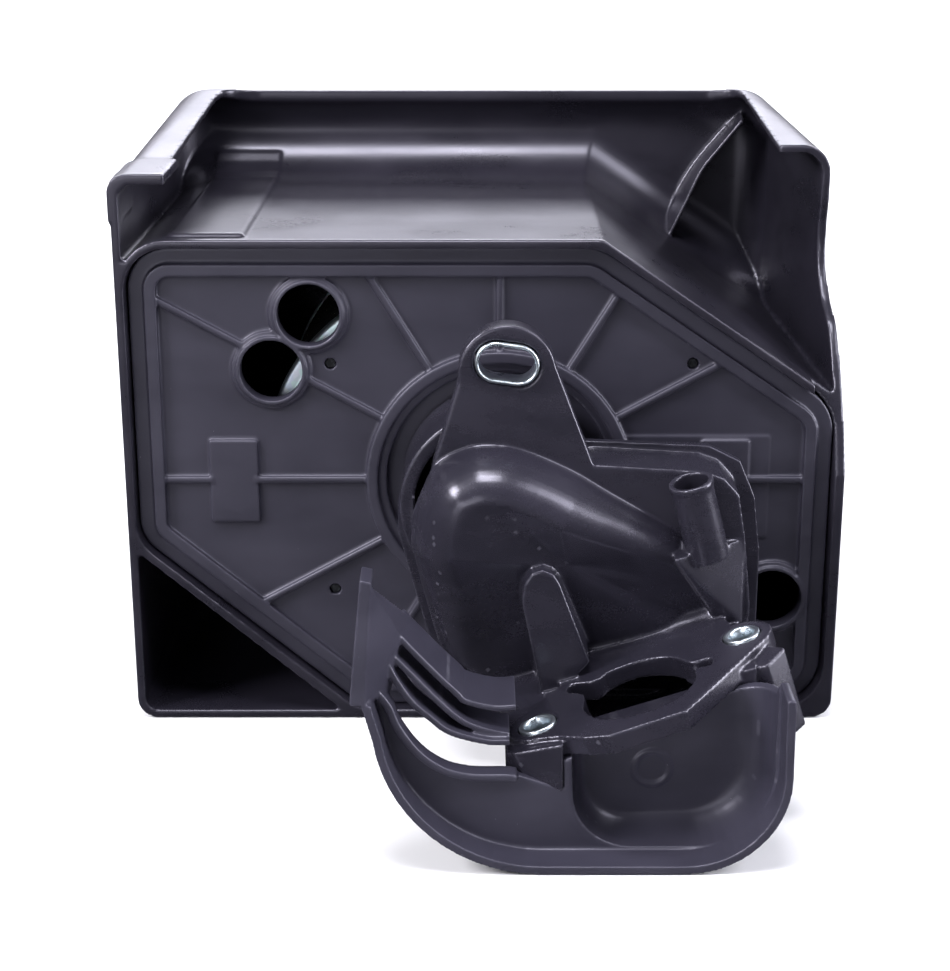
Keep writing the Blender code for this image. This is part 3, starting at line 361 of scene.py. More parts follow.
class Graph:
    """Small helper to wire a Principled material."""

    def __init__(self, name):
        self.mat = bpy.data.materials.new(name)
        self.mat.use_nodes = True
        self.tree = self.mat.node_tree
        self.shader = self.tree.nodes["Principled BSDF"]
        self.coords = self.node("ShaderNodeTexCoord").outputs["Object"]

    def node(self, kind, **settings):
        made = self.tree.nodes.new(kind)
        for key, value in settings.items():
            setattr(made, key, value)
        return made

    def put(self, socket, value):
        if hasattr(value, "links"):
            self.tree.links.new(value, socket)
        else:
            socket.default_value = value

    def noise(self, scale, detail=4.0, rough=0.5, stretch=(1.0, 1.0, 1.0)):
        mapping = self.node("ShaderNodeMapping")
        self.put(mapping.inputs["Vector"], self.coords)
        mapping.inputs["Scale"].default_value = stretch
        made = self.node("ShaderNodeTexNoise")
        self.put(made.inputs["Vector"], mapping.outputs[0])
        made.inputs["Scale"].default_value = scale
        made.inputs["Detail"].default_value = detail
        made.inputs["Roughness"].default_value = rough
        return made.outputs["Fac"]

    def cells(self, scale, feature="F1", output="Distance"):
        made = self.node("ShaderNodeTexVoronoi", feature=feature)
        self.put(made.inputs["Vector"], self.coords)
        made.inputs["Scale"].default_value = scale
        return made.outputs[output]

    def ramp(self, value, stops):
        made = self.node("ShaderNodeValToRGB")
        self.put(made.inputs["Fac"], value)
        elements = made.color_ramp.elements
        while len(elements) < len(stops):
            elements.new(0.5)
        for element, (position, colour) in zip(elements, stops):
            element.position = position
            element.color = (*colour, 1.0) if len(colour) == 3 else colour
        return made.outputs["Color"]

    def scalar(self, value, low, high, from_low=0.0, from_high=1.0):
        made = self.node("ShaderNodeMapRange")
        self.put(made.inputs["Value"], value)
        for key, number in zip(RANGE_SOCKETS, (from_low, from_high, low, high)):
            made.inputs[key].default_value = number
        return made.outputs["Result"]

    def mix(self, factor, first, second, blend="MIX"):
        made = self.node("ShaderNodeMix", data_type="RGBA", blend_type=blend)
        self.put(made.inputs[0], factor)
        self.put(made.inputs[6], first)
        self.put(made.inputs[7], second)
        return made.outputs[2]

    def math(self, operation, first, second=0.0):
        made = self.node("ShaderNodeMath", operation=operation)
        self.put(made.inputs[0], first)
        self.put(made.inputs[1], second)
        return made.outputs[0]

    def bump(self, layers, bevel=0.0):
        """Stack bump layers of (height, strength, distance), over rounded normals if asked."""
        normal = None
        if bevel:
            made = self.node("ShaderNodeBevel", samples=4)
            made.inputs["Radius"].default_value = bevel
            normal = made.outputs["Normal"]
        for height, strength, distance in layers:
            made = self.node("ShaderNodeBump")
            made.inputs["Strength"].default_value = strength
            made.inputs["Distance"].default_value = distance
            self.put(made.inputs["Height"], height)
            if normal is not None:
                self.put(made.inputs["Normal"], normal)
            normal = made.outputs["Normal"]
        self.put(self.shader.inputs["Normal"], normal)

    def set(self, **values):
        for key, value in values.items():
            self.put(self.shader.inputs[key.replace("_", " ")], value)
        return self.mat


def moulded_plastic(name, dark, light, rough_low, rough_high, grain=0.1, bevel=0.0):
    """Injection-moulded black plastic: faint flow marks, fine grain, paler worn edges, dust."""
    g = Graph(name)
    flow = g.noise(28.0, 5.0, 0.6, (1.0, 1.0, 2.2))
    fine = g.noise(2600.0, 2.0)
    colour = g.ramp(flow, [(0.3, dark), (0.75, light)])
    wear = g.scalar(g.node("ShaderNodeNewGeometry").outputs["Pointiness"], 0.0, 1.0, 0.525, 0.60)
    patchy = g.math("MULTIPLY", wear, g.scalar(g.noise(190.0, 3.0), 0.25, 0.9, 0.35, 0.65))
    colour = g.mix(g.math("MULTIPLY", patchy, 0.35), colour, (0.16, 0.155, 0.19, 1.0))
    specks = g.math("LESS_THAN", g.cells(330.0), g.scalar(g.noise(90.0, 2.0), 0.0, 0.055, 0.52, 0.78))
    colour = g.mix(g.math("MULTIPLY", specks, 0.55), colour, (0.33, 0.33, 0.36, 1.0))
    rough = g.math("ADD", g.scalar(flow, rough_low, rough_high, 0.3, 0.7), g.scalar(fine, -0.03, 0.03))
    g.bump([(flow, 0.05, 0.0008), (fine, grain, 0.00006), (specks, 0.2, 0.00005)], bevel)
    return g.set(Base_Color=colour, Roughness=rough, Specular_Tint=(0.88, 0.86, 1.0, 1.0),
                 Specular_IOR_Level=0.62)


def zinc_steel(name, colour=(0.66, 0.73, 0.78), rough=0.26, stretch=(1.0, 14.0, 1.0), bevel=0.0):
    """Plated steel: fine turning marks, clouded plating and a few dull marks."""
    g = Graph(name)
    lines = g.noise(900.0, 3.0, 0.6, stretch)
    cloud = g.noise(120.0, 4.0, 0.6)
    tone = g.ramp(cloud, [(0.35, tuple(c * 0.82 for c in colour)), (0.7, colour)])
    tone = g.mix(g.scalar(lines, 0.0, 0.25, 0.45, 0.7), tone, (0.30, 0.33, 0.36, 1.0))
    rough_map = g.math("ADD", g.scalar(cloud, rough - 0.06, rough + 0.1, 0.35, 0.7),
                       g.scalar(lines, 0.0, 0.08))
    g.bump([(lines, 0.12, 0.00005), (cloud, 0.05, 0.0002)], bevel)
    return g.set(Base_Color=tone, Roughness=rough_map, Metallic=1.0)


def galvanised_sheet(name):
    """Thin galvanised sheet: soft spangle, rolling lines and light scuffs."""
    g = Graph(name)
    spangle = g.cells(420.0, "F1", "Color")
    cloud = g.noise(45.0, 5.0, 0.6)
    rolled = g.noise(700.0, 3.0, 0.55, (0.15, 1.0, 2.4))
    tone = g.ramp(cloud, [(0.3, (0.50, 0.58, 0.63)), (0.7, (0.62, 0.69, 0.73))])
    tone = g.mix(0.10, tone, spangle, "OVERLAY")
    scuffs = g.math("GREATER_THAN", g.noise(260.0, 6.0, 0.75, (0.3, 1.0, 3.0)), 0.68)
    tone = g.mix(g.math("MULTIPLY", scuffs, 0.35), tone, (0.80, 0.84, 0.86, 1.0))
    rough = g.math("ADD", g.scalar(cloud, 0.36, 0.48, 0.3, 0.7), g.scalar(rolled, -0.04, 0.06))
    g.bump([(rolled, 0.1, 0.00006), (cloud, 0.06, 0.0004)])
    return g.set(Base_Color=tone, Roughness=rough, Metallic=0.92)


def filter_paper(name):
    """Resin-treated cellulose: amber, fibrous, glowing where light comes through."""
    g = Graph(name)
    fibre = g.noise(1500.0, 6.0, 0.7, (1.0, 0.35, 1.0))
    blotch = g.noise(130.0, 4.0, 0.6)
    tone = g.ramp(blotch, [(0.3, (0.72, 0.34, 0.035)), (0.7, (0.88, 0.50, 0.085))])
    tone = g.mix(g.scalar(fibre, 0.0, 0.4, 0.4, 0.7), tone, (0.95, 0.66, 0.22, 1.0))
    g.bump([(fibre, 0.35, 0.00012)])
    return g.set(Base_Color=tone, Roughness=0.82, Subsurface_Weight=0.25,
                 Subsurface_Radius=(0.9, 0.45, 0.1), Subsurface_Scale=0.0012, Specular_IOR_Level=0.25)


def open_cell_foam(name):
    """Black open-cell foam: dark pores between fine struts, some of which catch the light."""
    g = Graph(name)
    pores = g.cells(1050.0)
    big = g.cells(520.0)
    lit = g.cells(1500.0, "F1", "Color")
    split = g.node("ShaderNodeSeparateColor")
    g.put(split.inputs[0], lit)
    glint = g.math("MULTIPLY", g.math("GREATER_THAN", split.outputs[0], 0.955),
                   g.math("LESS_THAN", g.cells(1500.0), 0.28))
    tone = g.ramp(pores, [(0.1, (0.004, 0.004, 0.004)), (0.55, (0.020, 0.020, 0.021))])
    tone = g.mix(g.math("MULTIPLY", glint, 0.8), tone, (0.45, 0.42, 0.33, 1.0))
    g.bump([(big, 0.6, 0.0006), (pores, 0.9, 0.0004)])
    return g.set(Base_Color=tone, Roughness=g.scalar(glint, 0.9, 0.35), Specular_IOR_Level=0.3)


def rubber(name):
    """Black moulded rubber with a faint bloom."""
    g = Graph(name)
    bloom = g.noise(160.0, 5.0, 0.65)
    fine = g.noise(2200.0, 2.0)
    tone = g.ramp(bloom, [(0.35, (0.012, 0.012, 0.012)), (0.75, (0.034, 0.033, 0.032))])
    g.bump([(fine, 0.25, 0.00006)], 0.0004)
    return g.set(Base_Color=tone, Roughness=g.scalar(bloom, 0.55, 0.75, 0.3, 0.7), Specular_IOR_Level=0.35)


PLASTIC = moulded_plastic("moulded_black", (0.0095, 0.0088, 0.0135), (0.0165, 0.0150, 0.0225), 0.26, 0.36)
PLASTIC_TEXTURED = moulded_plastic("moulded_black_textured", (0.0175, 0.0165, 0.0255),
                                   (0.0255, 0.0240, 0.0365), 0.38, 0.50, 0.3)
PLASTIC_SATIN = moulded_plastic("moulded_black_satin", (0.0235, 0.0225, 0.0335),
                                (0.0345, 0.0325, 0.0485), 0.32, 0.43, 0.25)
PLASTIC_GLOSSY = moulded_plastic("moulded_black_glossy", (0.0115, 0.0108, 0.0165),
                                 (0.0200, 0.0185, 0.0275), 0.22, 0.31)
PLASTIC_DULL = moulded_plastic("moulded_black_dull", (0.012, 0.0115, 0.015), (0.022, 0.021, 0.026),
                               0.42, 0.55, 0.3)
ZINC = zinc_steel("zinc_plated", bevel=0.00025)
ZINC_TURNED = zinc_steel("zinc_turned", (0.70, 0.78, 0.82), 0.2, (1.0, 1.0, 1.0))
SHEET_STEEL = galvanised_sheet("galvanised_sheet")
BLACK_STEEL = zinc_steel("blackened_steel", (0.045, 0.045, 0.05), 0.35)
BRASS = zinc_steel("turned_brass", (0.78, 0.55, 0.24), 0.25, (1.0, 20.0, 1.0), 0.0002)
PAPER = filter_paper("amber_paper")
FOAM = open_cell_foam("black_foam")
RUBBER = rubber("black_rubber")


# ---------------------------------------------------------------- base plate
def rib_outline(degrees, start, end, width):
    c, s, h = math.cos(math.radians(degrees)), math.sin(math.radians(degrees)), width / 2.0
    return [(start * c - h * s, start * s + h * c), (end * c - h * s, end * s + h * c),
            (end * c + h * s, end * s - h * c), (start * c + h * s, start * s - h * c)]


def build_plate():
    outline = rounded(PLATE_OUTLINE, PLATE_CORNER_R)
    plate = prism("base_plate_look", outline, 0.0, PLATE_T, cutter=False)
    profile = [(0.0, 0.5), (0.0, -0.6), (SHELF_W, -0.6), (SHELF_W, -PLATE_RAISE), (BORDER_W, -PLATE_RAISE),
               (BORDER_W, 0.5)]
    join(plate, prism("ledge", circle(34.0), 1.5, LEDGE_BACK),
         prism("boss", flatted_circle(BOSS_R, BOSS_FLAT, ROUND), LEDGE_BACK - 0.5, BOSS_BACK),
         loft("border", [flat_ring(inset(outline, d), y) for d, y in profile], True),
         turned("collar", [(COLLAR_OUT, 0.6), (COLLAR_OUT, -2.8), (COLLAR_IN, -2.8), (COLLAR_IN, 0.6)]),
         prism("inner_collar", circle(COLLAR_IN + 0.7), -1.2, 0.7))
    spokes = [(0.0, 89.5), (28.7, 73.2), (58.5, 65.3), (90.0, 61.3), (121.5, 71.8), (151.3, 64.0),
              (208.7, 80.3), (238.5, 75.0), (270.0, 64.0), (301.5, 75.0), (331.3, 82.0)]
    spans = [(a, COLLAR_OUT - 1.5, r) for a, r in spokes]
    spans += [(151.3, 83.0, 111.5), (180.0, COLLAR_OUT - 1.5, 71.0), (180.0, 83.0, 98.5)]
    for i, (degrees, start, end) in enumerate(spans):
        join(plate, prism("rib_%d" % i, rib_outline(degrees, start, end, RIB_W), -PLATE_RAISE + 0.6, 0.9))
    for i, centre in enumerate(INLETS):
        low, high = -0.03 * i, 0.05 * i              # no two overlapping collars share a plane
        join(plate, prism("inlet_collar_%d" % i, circle(INLET_COLLAR_R, 64, centre), low - 1.3, high + 1.1),
             prism("inlet_lip_%d" % i, circle(INLET_R + 1.2, 64, centre), low - 2.5, high + 1.4))
    join(plate, prism("pad_left", rounded_box(-84.0, -70.0, -13.0, 12.0, 0.8), -1.4, 0.8),
         prism("pad_right", rounded_box(58.5, 72.5, -13.0, 12.0, 0.8), -1.4, 0.82),
         prism("pad_field", rounded_box(29.0, 78.5, -18.0, 13.0, 0.6), -0.5, 0.75))
    cut(plate, prism("recess", circle(RECESS_R), -8.0, RECESS_FLOOR),
        prism("bore", circle(BORE_R), -1.0, 20.0))
    for i, centre in enumerate(INLETS):
        cut(plate, prism("inlet_%d" % i, circle(INLET_R, 64, centre), -9.0, 9.0))
    for i, centre in enumerate(SCREWS):
        cut(plate, prism("screw_%d" % i, circle(1.65, 20, centre), -9.0, 9.0))
    dress(mould(plate, 0.42, 2), PLASTIC_TEXTURED, "housing", "base_plate")


# ---------------------------------------------------------------- intake elbow
def on_flange(u, w, drop=0.0):
    """Point on the carburettor flange: u across the ears, w towards the cover, drop below the face."""
    c, s = math.cos(FLANGE_TILT), math.sin(FLANGE_TILT)
    return (FLANGE_C.x + u * c + drop * s, FLANGE_C.y + w, FLANGE_C.z + u * s - drop * c)


def flange_prism(name, outline, top, bottom):
    return loft(name, [[on_flange(u, w, drop) for u, w in outline] for drop in (top, bottom)])


def ear_arc(sign, first, last, steps=16):
    return [(sign * EAR_U + EAR_R * math.cos(math.radians(first + (last - first) * k / steps)),
             sign * EAR_W + EAR_R * math.sin(math.radians(first + (last - first) * k / steps)))
            for k in range(steps + 1)]


FLANGE_OUTLINE = (ear_arc(-1, 120.0, 268.0) + [(-23.5, -19.5), (-16.8, -24.6), (-10.5, -27.6), (9.5, -26.5)]
                  + ear_arc(1, -36.0, 100.0) + [(25.0, 27.5), (1.0, 31.0), (-14.0, 31.0), (-20.0, 22.0),
                                                (-22.0, 11.0)])
PORT_OUTLINE = smooth_line([
    (-16.0, -9.0), (-11.0, -17.5), (-1.0, -20.5), (8.0, -18.0), (13.6, -10.5), (14.6, -3.5), (19.0, -3.6),
    (19.0, 0.6), (14.0, 1.2), (9.0, 8.5), (1.0, 11.8), (-8.0, 10.6), (-12.5, 7.6), (-18.5, 9.8),
    (-20.0, 5.6), (-15.6, 1.0)], True, 4)
PORT_LIP, PORT_FRONT, RAMP = 2.3, -20.5, 0.17    # the port floor slopes down to the passage
RAMP_PLAN = [(-18.0, -14.5), (16.5, -14.5), (16.5, -1.0), (-18.0, -1.0)]
BLOCK_FRONT = [(46.3, -51.5, -6.4), (66.8, -39.5, -4.6), (66.5, -44.0, -28.0), (60.0, -44.0, -28.0),
               (59.0, -46.0, -15.5)]
BLOCK_BACK = [(46.0, -34.0, -6.6), (66.5, -34.0, -4.6), (66.5, -34.0, -28.0), (60.0, -34.0, -28.0)]
BRACE_FRONT = [(68.5, -76.0, -26.5), (75.5, -76.0, -47.5)]
BRACE_BACK = [(73.8, -71.0, -23.5), (80.6, -71.0, -45.5)]
BRACE_ROOT = [(x, y, z) for x in (60.0, 70.0) for y in (-71.0, -54.0) for z in (-30.0, -47.0)]
PASSAGE_OUTLINE = [(-15.2, -3.0), (14.2, -3.0)] + smooth_line([
    (18.4, -1.4), (13.6, 0.9), (8.6, 8.0), (1.0, 11.3), (-7.8, 10.1), (-12.4, 7.1), (-18.2, 9.2),
    (-19.4, 5.6), (-15.1, 0.8)], False, 4)
DOME_OUTLINE = [(-23.0, -6.0), (-22.2, 6.0), (-17.5, 16.6), (-10.0, 21.0), (-3.5, 22.2), (5.3, 21.0),
                (18.6, 15.3), (29.8, 8.5), (45.5, -0.8), (55.0, -8.5), (60.5, -17.0), (61.5, -28.0),
                (60.0, -42.0),
                (40.0, -50.0), (5.0, -50.0), (-11.0, -42.0), (-19.0, -22.0)]
DOME_H, DOME_EDGE = 17.5, 11.5                   # height of the bulge and radius of its rounded edge
PLENUM_OUTLINE = [(-21.3, 9.3), (-24.0, 2.7), (-24.5, -6.0), (-21.4, -19.3), (-16.7, -36.6), (-12.0, -50.0),
                  (-6.0, -56.0), (60.0, -56.0), (68.0, -48.0), (69.0, -24.0), (67.0, -5.0), (64.8, 8.0),
                  (60.5, 12.8), (55.0, 14.8), (26.0, 16.6)]
FOOT_OUTLINE = [(-28.5, 2.0), (-28.8, -8.0), (-25.5, -21.0), (-17.0, -52.0), (-8.0, -59.5), (62.0, -59.5),
                (73.5, -50.0), (73.5, -14.0), (71.5, 2.0), (67.0, 12.5), (58.0, 17.0), (22.0, 18.5),
                (-22.0, 12.0)]


def flange_z(x):
    return FLANGE_C.z + (x - FLANGE_C.x) * math.tan(FLANGE_TILT)


def chamber_ring(y, left, right, bottom, lift, retreat=0.0):
    """Cross-section of the duct under the flange; its top edge follows the sloping flange."""
    corners = [(left, flange_z(left) - lift), (left, bottom), (right, bottom),
               (right, flange_z(right) - lift)]
    width = right - left
    out = []
    for x, z in rounded(corners, [0.4, 11.0, 20.0, 0.4], max(ARC, 4)):
        out.append((x, y + retreat * max(0.0, (x - left) / width - 0.55), z))
    return out


def fillet_ring(x):
    """Hollow corner between the dome's face and the flange behind the port."""
    top, r = flange_z(x), 5.5
    curve = [(x, -47.5 + r * math.sin(math.radians(a)), top + r - r * math.cos(math.radians(a)))
             for a in range(0, 91, 9)]
    return curve + [(x, -34.0, top + r), (x, -34.0, top - 5.0), (x, -47.5, top - 5.0)]


def leg_rings():
    """Support under the left ear: its front slants back to the side and its foot slants down."""
    top = [(0.9, -62.0), (0.9, -86.0), (3.4, -88.0), (15.5, -91.3), (15.5, -62.0)]
    foot = [(0.9, -62.0), (0.9, -86.0), (5.9, -88.6), (15.5, -91.3), (15.5, -62.0)]
    return [[(x, y, flange_z(x) - 1.5) for x, y in top], [(x, y, -50.8 - 0.3 * (x - 0.9)) for x, y in foot]]


def stub_ring(t, radius, count):
    """Circle square to the leaning breather stub, t from its foot (0) to its top (1)."""
    axis = (STUB_TOP - STUB_FOOT).normalized()
    side = axis.cross(Vector((0.0, 1.0, 0.0))).normalized()
    front = axis.cross(side)
    middle = STUB_FOOT + (STUB_TOP - STUB_FOOT) * t
    return [tuple(middle + (side * c + front * s) * radius) for c, s in circle(1.0, count)]


def dome_rings(outline, steps):
    """Bulge over the bend: full height along its upper edge, sinking to the flange below."""
    inner = inset(outline, DOME_EDGE)

    def rise(x, z):
        return 1.5 + (DOME_H - 1.5) * min(1.0, max(0.0, (z - flange_z(x)) / 44.0))
    rings = [flat_ring(outline, -30.0)]
    for k in range(steps + 1):
        angle = math.pi / 2.0 * k / steps
        ring = []
        for (x, z), (u, w) in zip(outline, inner):
            high = rise(u, w)
            t = (1.0 - math.cos(angle)) * (0.35 + 0.65 * high / DOME_H)
            ring.append((x + (u - x) * t, PLENUM_FRONT + 1.0 - high * math.sin(angle), z + (w - z) * t))
        rings.append(ring)
    return rings


def fan_capped(rings, centre):
    """Like a loft, but the last ring closes on a centre point."""
    bm = loft_bmesh(rings)
    bm.faces.ensure_lookup_table()
    bmesh.ops.poke(bm, faces=[bm.faces[-1]])
    bm.verts.ensure_lookup_table()
    bm.verts[-1].co = centre
    return bm


def slot_outline(half_length, radius, steps=14):
    """Oblong outline of the tab slot, slightly tilted."""
    straight = half_length - radius
    pts = []
    for side, first in ((1, -90.0), (-1, 90.0)):
        for k in range(steps + 1):
            a = math.radians(first + 180.0 * k / steps)
            pts.append((side * straight + radius * math.cos(a), radius * math.sin(a)))
    c, s = math.cos(SLOT_TILT), math.sin(SLOT_TILT)
    return [(SLOT_C[0] + x * c - z * s, SLOT_C[1] + x * s + z * c) for x, z in pts]


def build_elbow():
    elbow = prism("intake_elbow_look", PLENUM_OUTLINE, PLENUM_BACK - 0.5, PLENUM_FRONT, cutter=False)
    tab_pts = [(-21.0, 8.0)] + [
        (TAB_C[0] + TAB_R * math.cos(math.radians(a)), TAB_C[1] + TAB_R * math.sin(math.radians(a)))
        for a in range(190, 9, -6)] + [(27.5, 10.0)]
    join(elbow,
         prism("neck", circle(NECK_R), RECESS_FLOOR - 1.6, PLENUM_BACK - 6.0),
         prism("foot", FOOT_OUTLINE, PLENUM_BACK, PLENUM_BACK - 3.0),
         prism("tab", tab_pts, PLENUM_FRONT + TAB_T, PLENUM_FRONT - 0.02),
         finish("dome", fan_capped(dome_rings(smooth_line(DOME_OUTLINE, True, 4),
                                              12), (18.0, -51.5, -8.0))),
         hull("duct", [chamber_ring(DUCT_FRONT, 16.5, 66.0, -66.0, 3.0),
                       chamber_ring(-62.0, 6.0, 66.5, -65.0, 3.0),
                       chamber_ring(-30.0, -6.0, 64.0, -58.0, 3.0)]),
         loft("leg", leg_rings()),
         flange_prism("flange", FLANGE_OUTLINE, 0.0, FLANGE_T),
         loft("ramp", [[on_flange(u, w, FLANGE_T - 1.2) for u, w in RAMP_PLAN],
                       [on_flange(u, w, FLANGE_T + 0.02 + RAMP * (w + 14.5)) for u, w in RAMP_PLAN]]),
         hull("brace", [BRACE_FRONT, BRACE_BACK, BRACE_ROOT]),
         loft("fillet", [fillet_ring(x) for x in (10.0, 58.0)]),
         hull("block", [BLOCK_FRONT, BLOCK_BACK]),
         loft("stub", [stub_ring(0.0, STUB_R - 0.3, 48), stub_ring(0.9, STUB_R - 0.4, 48),
                       stub_ring(0.94, STUB_R, 48), stub_ring(1.0, STUB_R, 48)]),
         loft("tongue", [[(5.5, y, -16.5 - d), (6.2, y, -11.5 - d), (8.2, y, -8.4 - d), (11.0, y, -7.5 - d),
                          (13.8, y, -8.7 - d), (15.6, y, -11.5 - d), (24.0, y, -34.0 - d), (12.0, y, -48.0)]
                         for y, d in ((-30.0, -2.0), (-56.5, 0.0))]))
    cut(elbow, prism("throat", circle(NECK_BORE), 20.0, -36.5),
        hull("bend", [
            flat_ring([(-15.0, 2.0), (2.0, 9.0), (30.0, -4.0), (58.0, -30.0), (58.0, -50.0), (0.0, -50.0)],
                      -24.0),
            flat_ring([(-6.0, -2.0), (2.0, 1.0), (24.0, -10.0), (26.0, -16.0), (-2.0, -18.0)], -45.5),
            flat_ring([(58.0, -36.0), (58.0, -52.0), (8.0, -52.0), (0.0, -40.0)], -36.0)]),
        hull("lower", [
            chamber_ring(DUCT_FRONT + 2.4, 20.0, 61.0, -62.5, 9.0),
            chamber_ring(-60.0, 12.0, 61.0, -61.5, 9.0), chamber_ring(-34.0, 8.0, 58.0, -54.0, 9.0)]),
        loft("port", [[on_flange(u, w, -5.0) for u, w in PORT_OUTLINE],
                      [on_flange(u, w, PORT_LIP + RAMP * (w - PORT_FRONT)) for u, w in PORT_OUTLINE]]),
        flange_prism("port_passage", PASSAGE_OUTLINE, PORT_LIP - 0.9, FLANGE_T + 9.0))
    for side in (-1, 1):
        ear = circle(EAR_BORE, 40, (side * EAR_U, side * EAR_W))
        cut(elbow, flange_prism("ear_%d" % side, ear, -5.0, 11.5))
    cut(elbow, prism("slot", slot_outline(9.0, 5.9), -60.0, -20.0),
        loft("stub_bore", [stub_ring(t, STUB_BORE, 32) for t in (0.0, 1.4)]),
        prism("well", [(30.0, -18.0), (61.0, -20.0), (61.0, 6.0), (30.0, 9.0)], -36.5, -10.0))
    for i in range(3):
        join(elbow, prism("spider_%d" % i, rib_outline(90.0 + 120.0 * i, 2.0, 26.0, 3.0), -12.0, -2.0))
    join(elbow, prism("hub_boss", circle(7.0, 40), -14.0, 1.0))
    cut(elbow, prism("stud_hole", circle(STUD_BORE, 32), -8.0, 5.0))
    dress(mould(elbow, 0.45, 4), PLASTIC_GLOSSY, "housing", "intake_elbow")


# ---------------------------------------------------------------- carburettor guard
UPPER_WALL = [(-25.6, -13.9), (-23.0, -17.0), (-16.0, -24.6), (-10.9, -29.7), (-8.9, -31.7), (-1.8, -33.5),
              (4.0, -33.3)]
MIDDLE_WALL = [(-28.5, -17.3), (-23.0, -23.1), (-16.0, -30.7), (-9.6, -36.4), (-3.1, -39.1), (2.4, -40.2)]
LOWER_WALL = [(-28.4, -20.1), (-26.2, -24.6), (-22.4, -30.2), (-17.9, -34.4), (-12.8, -38.4), (-3.8, -41.0),
              (2.4, -41.2)]
GUARD_STEPS = 14
GUARD_OUTER = ([(-38.2, -26.7), (-35.0, -28.1)] + arc_points((10.0, -31.0), 43.0, 188.0, 270.0, GUARD_STEPS)
               + arc_points((46.5, -47.5), 26.5, 270.0, 360.0, GUARD_STEPS) + [(72.6, -24.6)])
GUARD_ARC = [(4.4, -49.5), (0.4, -49.3), (-7.0, -49.2), (-14.2, -47.4), (-20.6, -42.8), (-25.7, -35.7),
             (-28.2, -29.7), (-31.1, -25.8), (-33.3, -23.4)]
POST = [(-38.2, -27.2), (-38.0, -24.6), (-35.0, 6.2), (-32.2, 5.5), (-34.2, -18.5), (-34.0, -27.2)]
GUARD_WALLS = [(UPPER_WALL, -86.0, -67.0), (MIDDLE_WALL, -88.0, -76.0), (LOWER_WALL, -90.0, -80.0)]
WEB_FRONT = [(-32.4, -100.0, 5.0), (-34.4, -100.0, -18.5), (-34.4, -100.0, -26.0)]
MARK_C = (39.3, -54.0)                           # plain moulded ring on the pocket's face
WEB_BACK = [(-23.0, -67.0, -17.0), (-25.8, -86.0, -14.2), (-28.2, -88.0, -18.0), (-28.6, -88.0, -29.0)]


def wall_under(line, width):
    """Band whose upper edge is the line."""
    return thick_line([(x - width * 0.36, z - width * 0.36) for x, z in line], width)


def pocket_outline(corners, radii, wall):
    """Closed outline moved outwards by the wall; its top follows the underside of the flange."""
    open_top = UNDER if wall else UNDER - 4.0
    corners = [(x, z if z < -60.0 else flange_z(x) - open_top) for x, z in corners]
    outline = inset(rounded(corners, radii), -wall)
    return [(x, min(z, flange_z(x) - open_top)) for x, z in outline]


def pocket_rings(wall, front, back):
    """Bowl pressed back into the guard under the flange: steep at its edge, flat at the bottom."""
    mouth = pocket_outline([(17.6, -40.0), (18.6, -70.9), (69.8, -70.9), (69.6, -29.0)],
                           [0.3, 15.0, 21.0, 0.3], wall)
    face = pocket_outline([(21.5, -40.0), (23.0, -67.4), (60.8, -65.0), (60.4, -29.0)],
                          [0.3, 11.0, 14.0, 0.3], wall)
    rings = [] if wall else [flat_ring(mouth, front - 8.0)]
    steps = 10
    for k in range(steps + 1):
        a = math.pi / 2.0 * k / steps
        t = 1.0 - math.cos(a)
        rings.append(blend_ring(mouth, face, t, front + (back - front) * math.sin(a)))
    return rings


def build_guard():
    edge_in = [(70.8, -26.0), (68.0, flange_z(68.0) - UNDER), (16.0, flange_z(16.0) - UNDER), (15.9, -54.6),
               (3.4, -50.4)]
    rim_line = inset(GUARD_OUTER, GUARD_T / 2.0)[1:]
    floor_line = [(-34.6, -25.5)] + inset(GUARD_OUTER, GUARD_T * 0.6)[1:]
    steps = 5
    arc_line = smooth_line(GUARD_ARC, False, steps)
    guard = prism("carburetor_guard_look", floor_line + edge_in + [(x - 0.5, z - 0.8) for x, z in arc_line],
                  GUARD_FLOOR, GUARD_BACK, cutter=False)
    join(guard, prism("rim", thick_line(rim_line[::-1], GUARD_T), GUARD_RIM, GUARD_BACK),
         prism("arc", wall_under(arc_line, 2.0), GUARD_RIM + 6.5, GUARD_BACK),
         prism("post", POST, GUARD_RIM, GUARD_FLOOR + 1.0),
         hull("web", [WEB_FRONT, WEB_BACK, [(x - 1.5, y, z - 1.0) for x, y, z in WEB_FRONT + WEB_BACK]]),
         *[prism("wall_%d" % i, wall_under(smooth_line(line, False, steps), 1.6), front, back)
           for i, (line, front, back) in enumerate(GUARD_WALLS)],
         loft("pocket_shell", pocket_rings(2.1, GUARD_FLOOR - 0.1, DUCT_FRONT - 0.4)))
    cut(guard, loft("pocket", pocket_rings(0.0, GUARD_FLOOR, POCKET_FACE)))
    mark = prism("ring_mark", circle(5.2, 48, MARK_C), POCKET_FACE - 0.55, POCKET_FACE + 1.0)
    cut(mark, prism("ring_mark_middle", circle(4.2, 48, MARK_C), POCKET_FACE - 2.0, POCKET_FACE + 2.0))
    join(guard, mark)
    dress(mould(guard, 0.42, 3), PLASTIC_SATIN, "housing", "carburetor_guard")


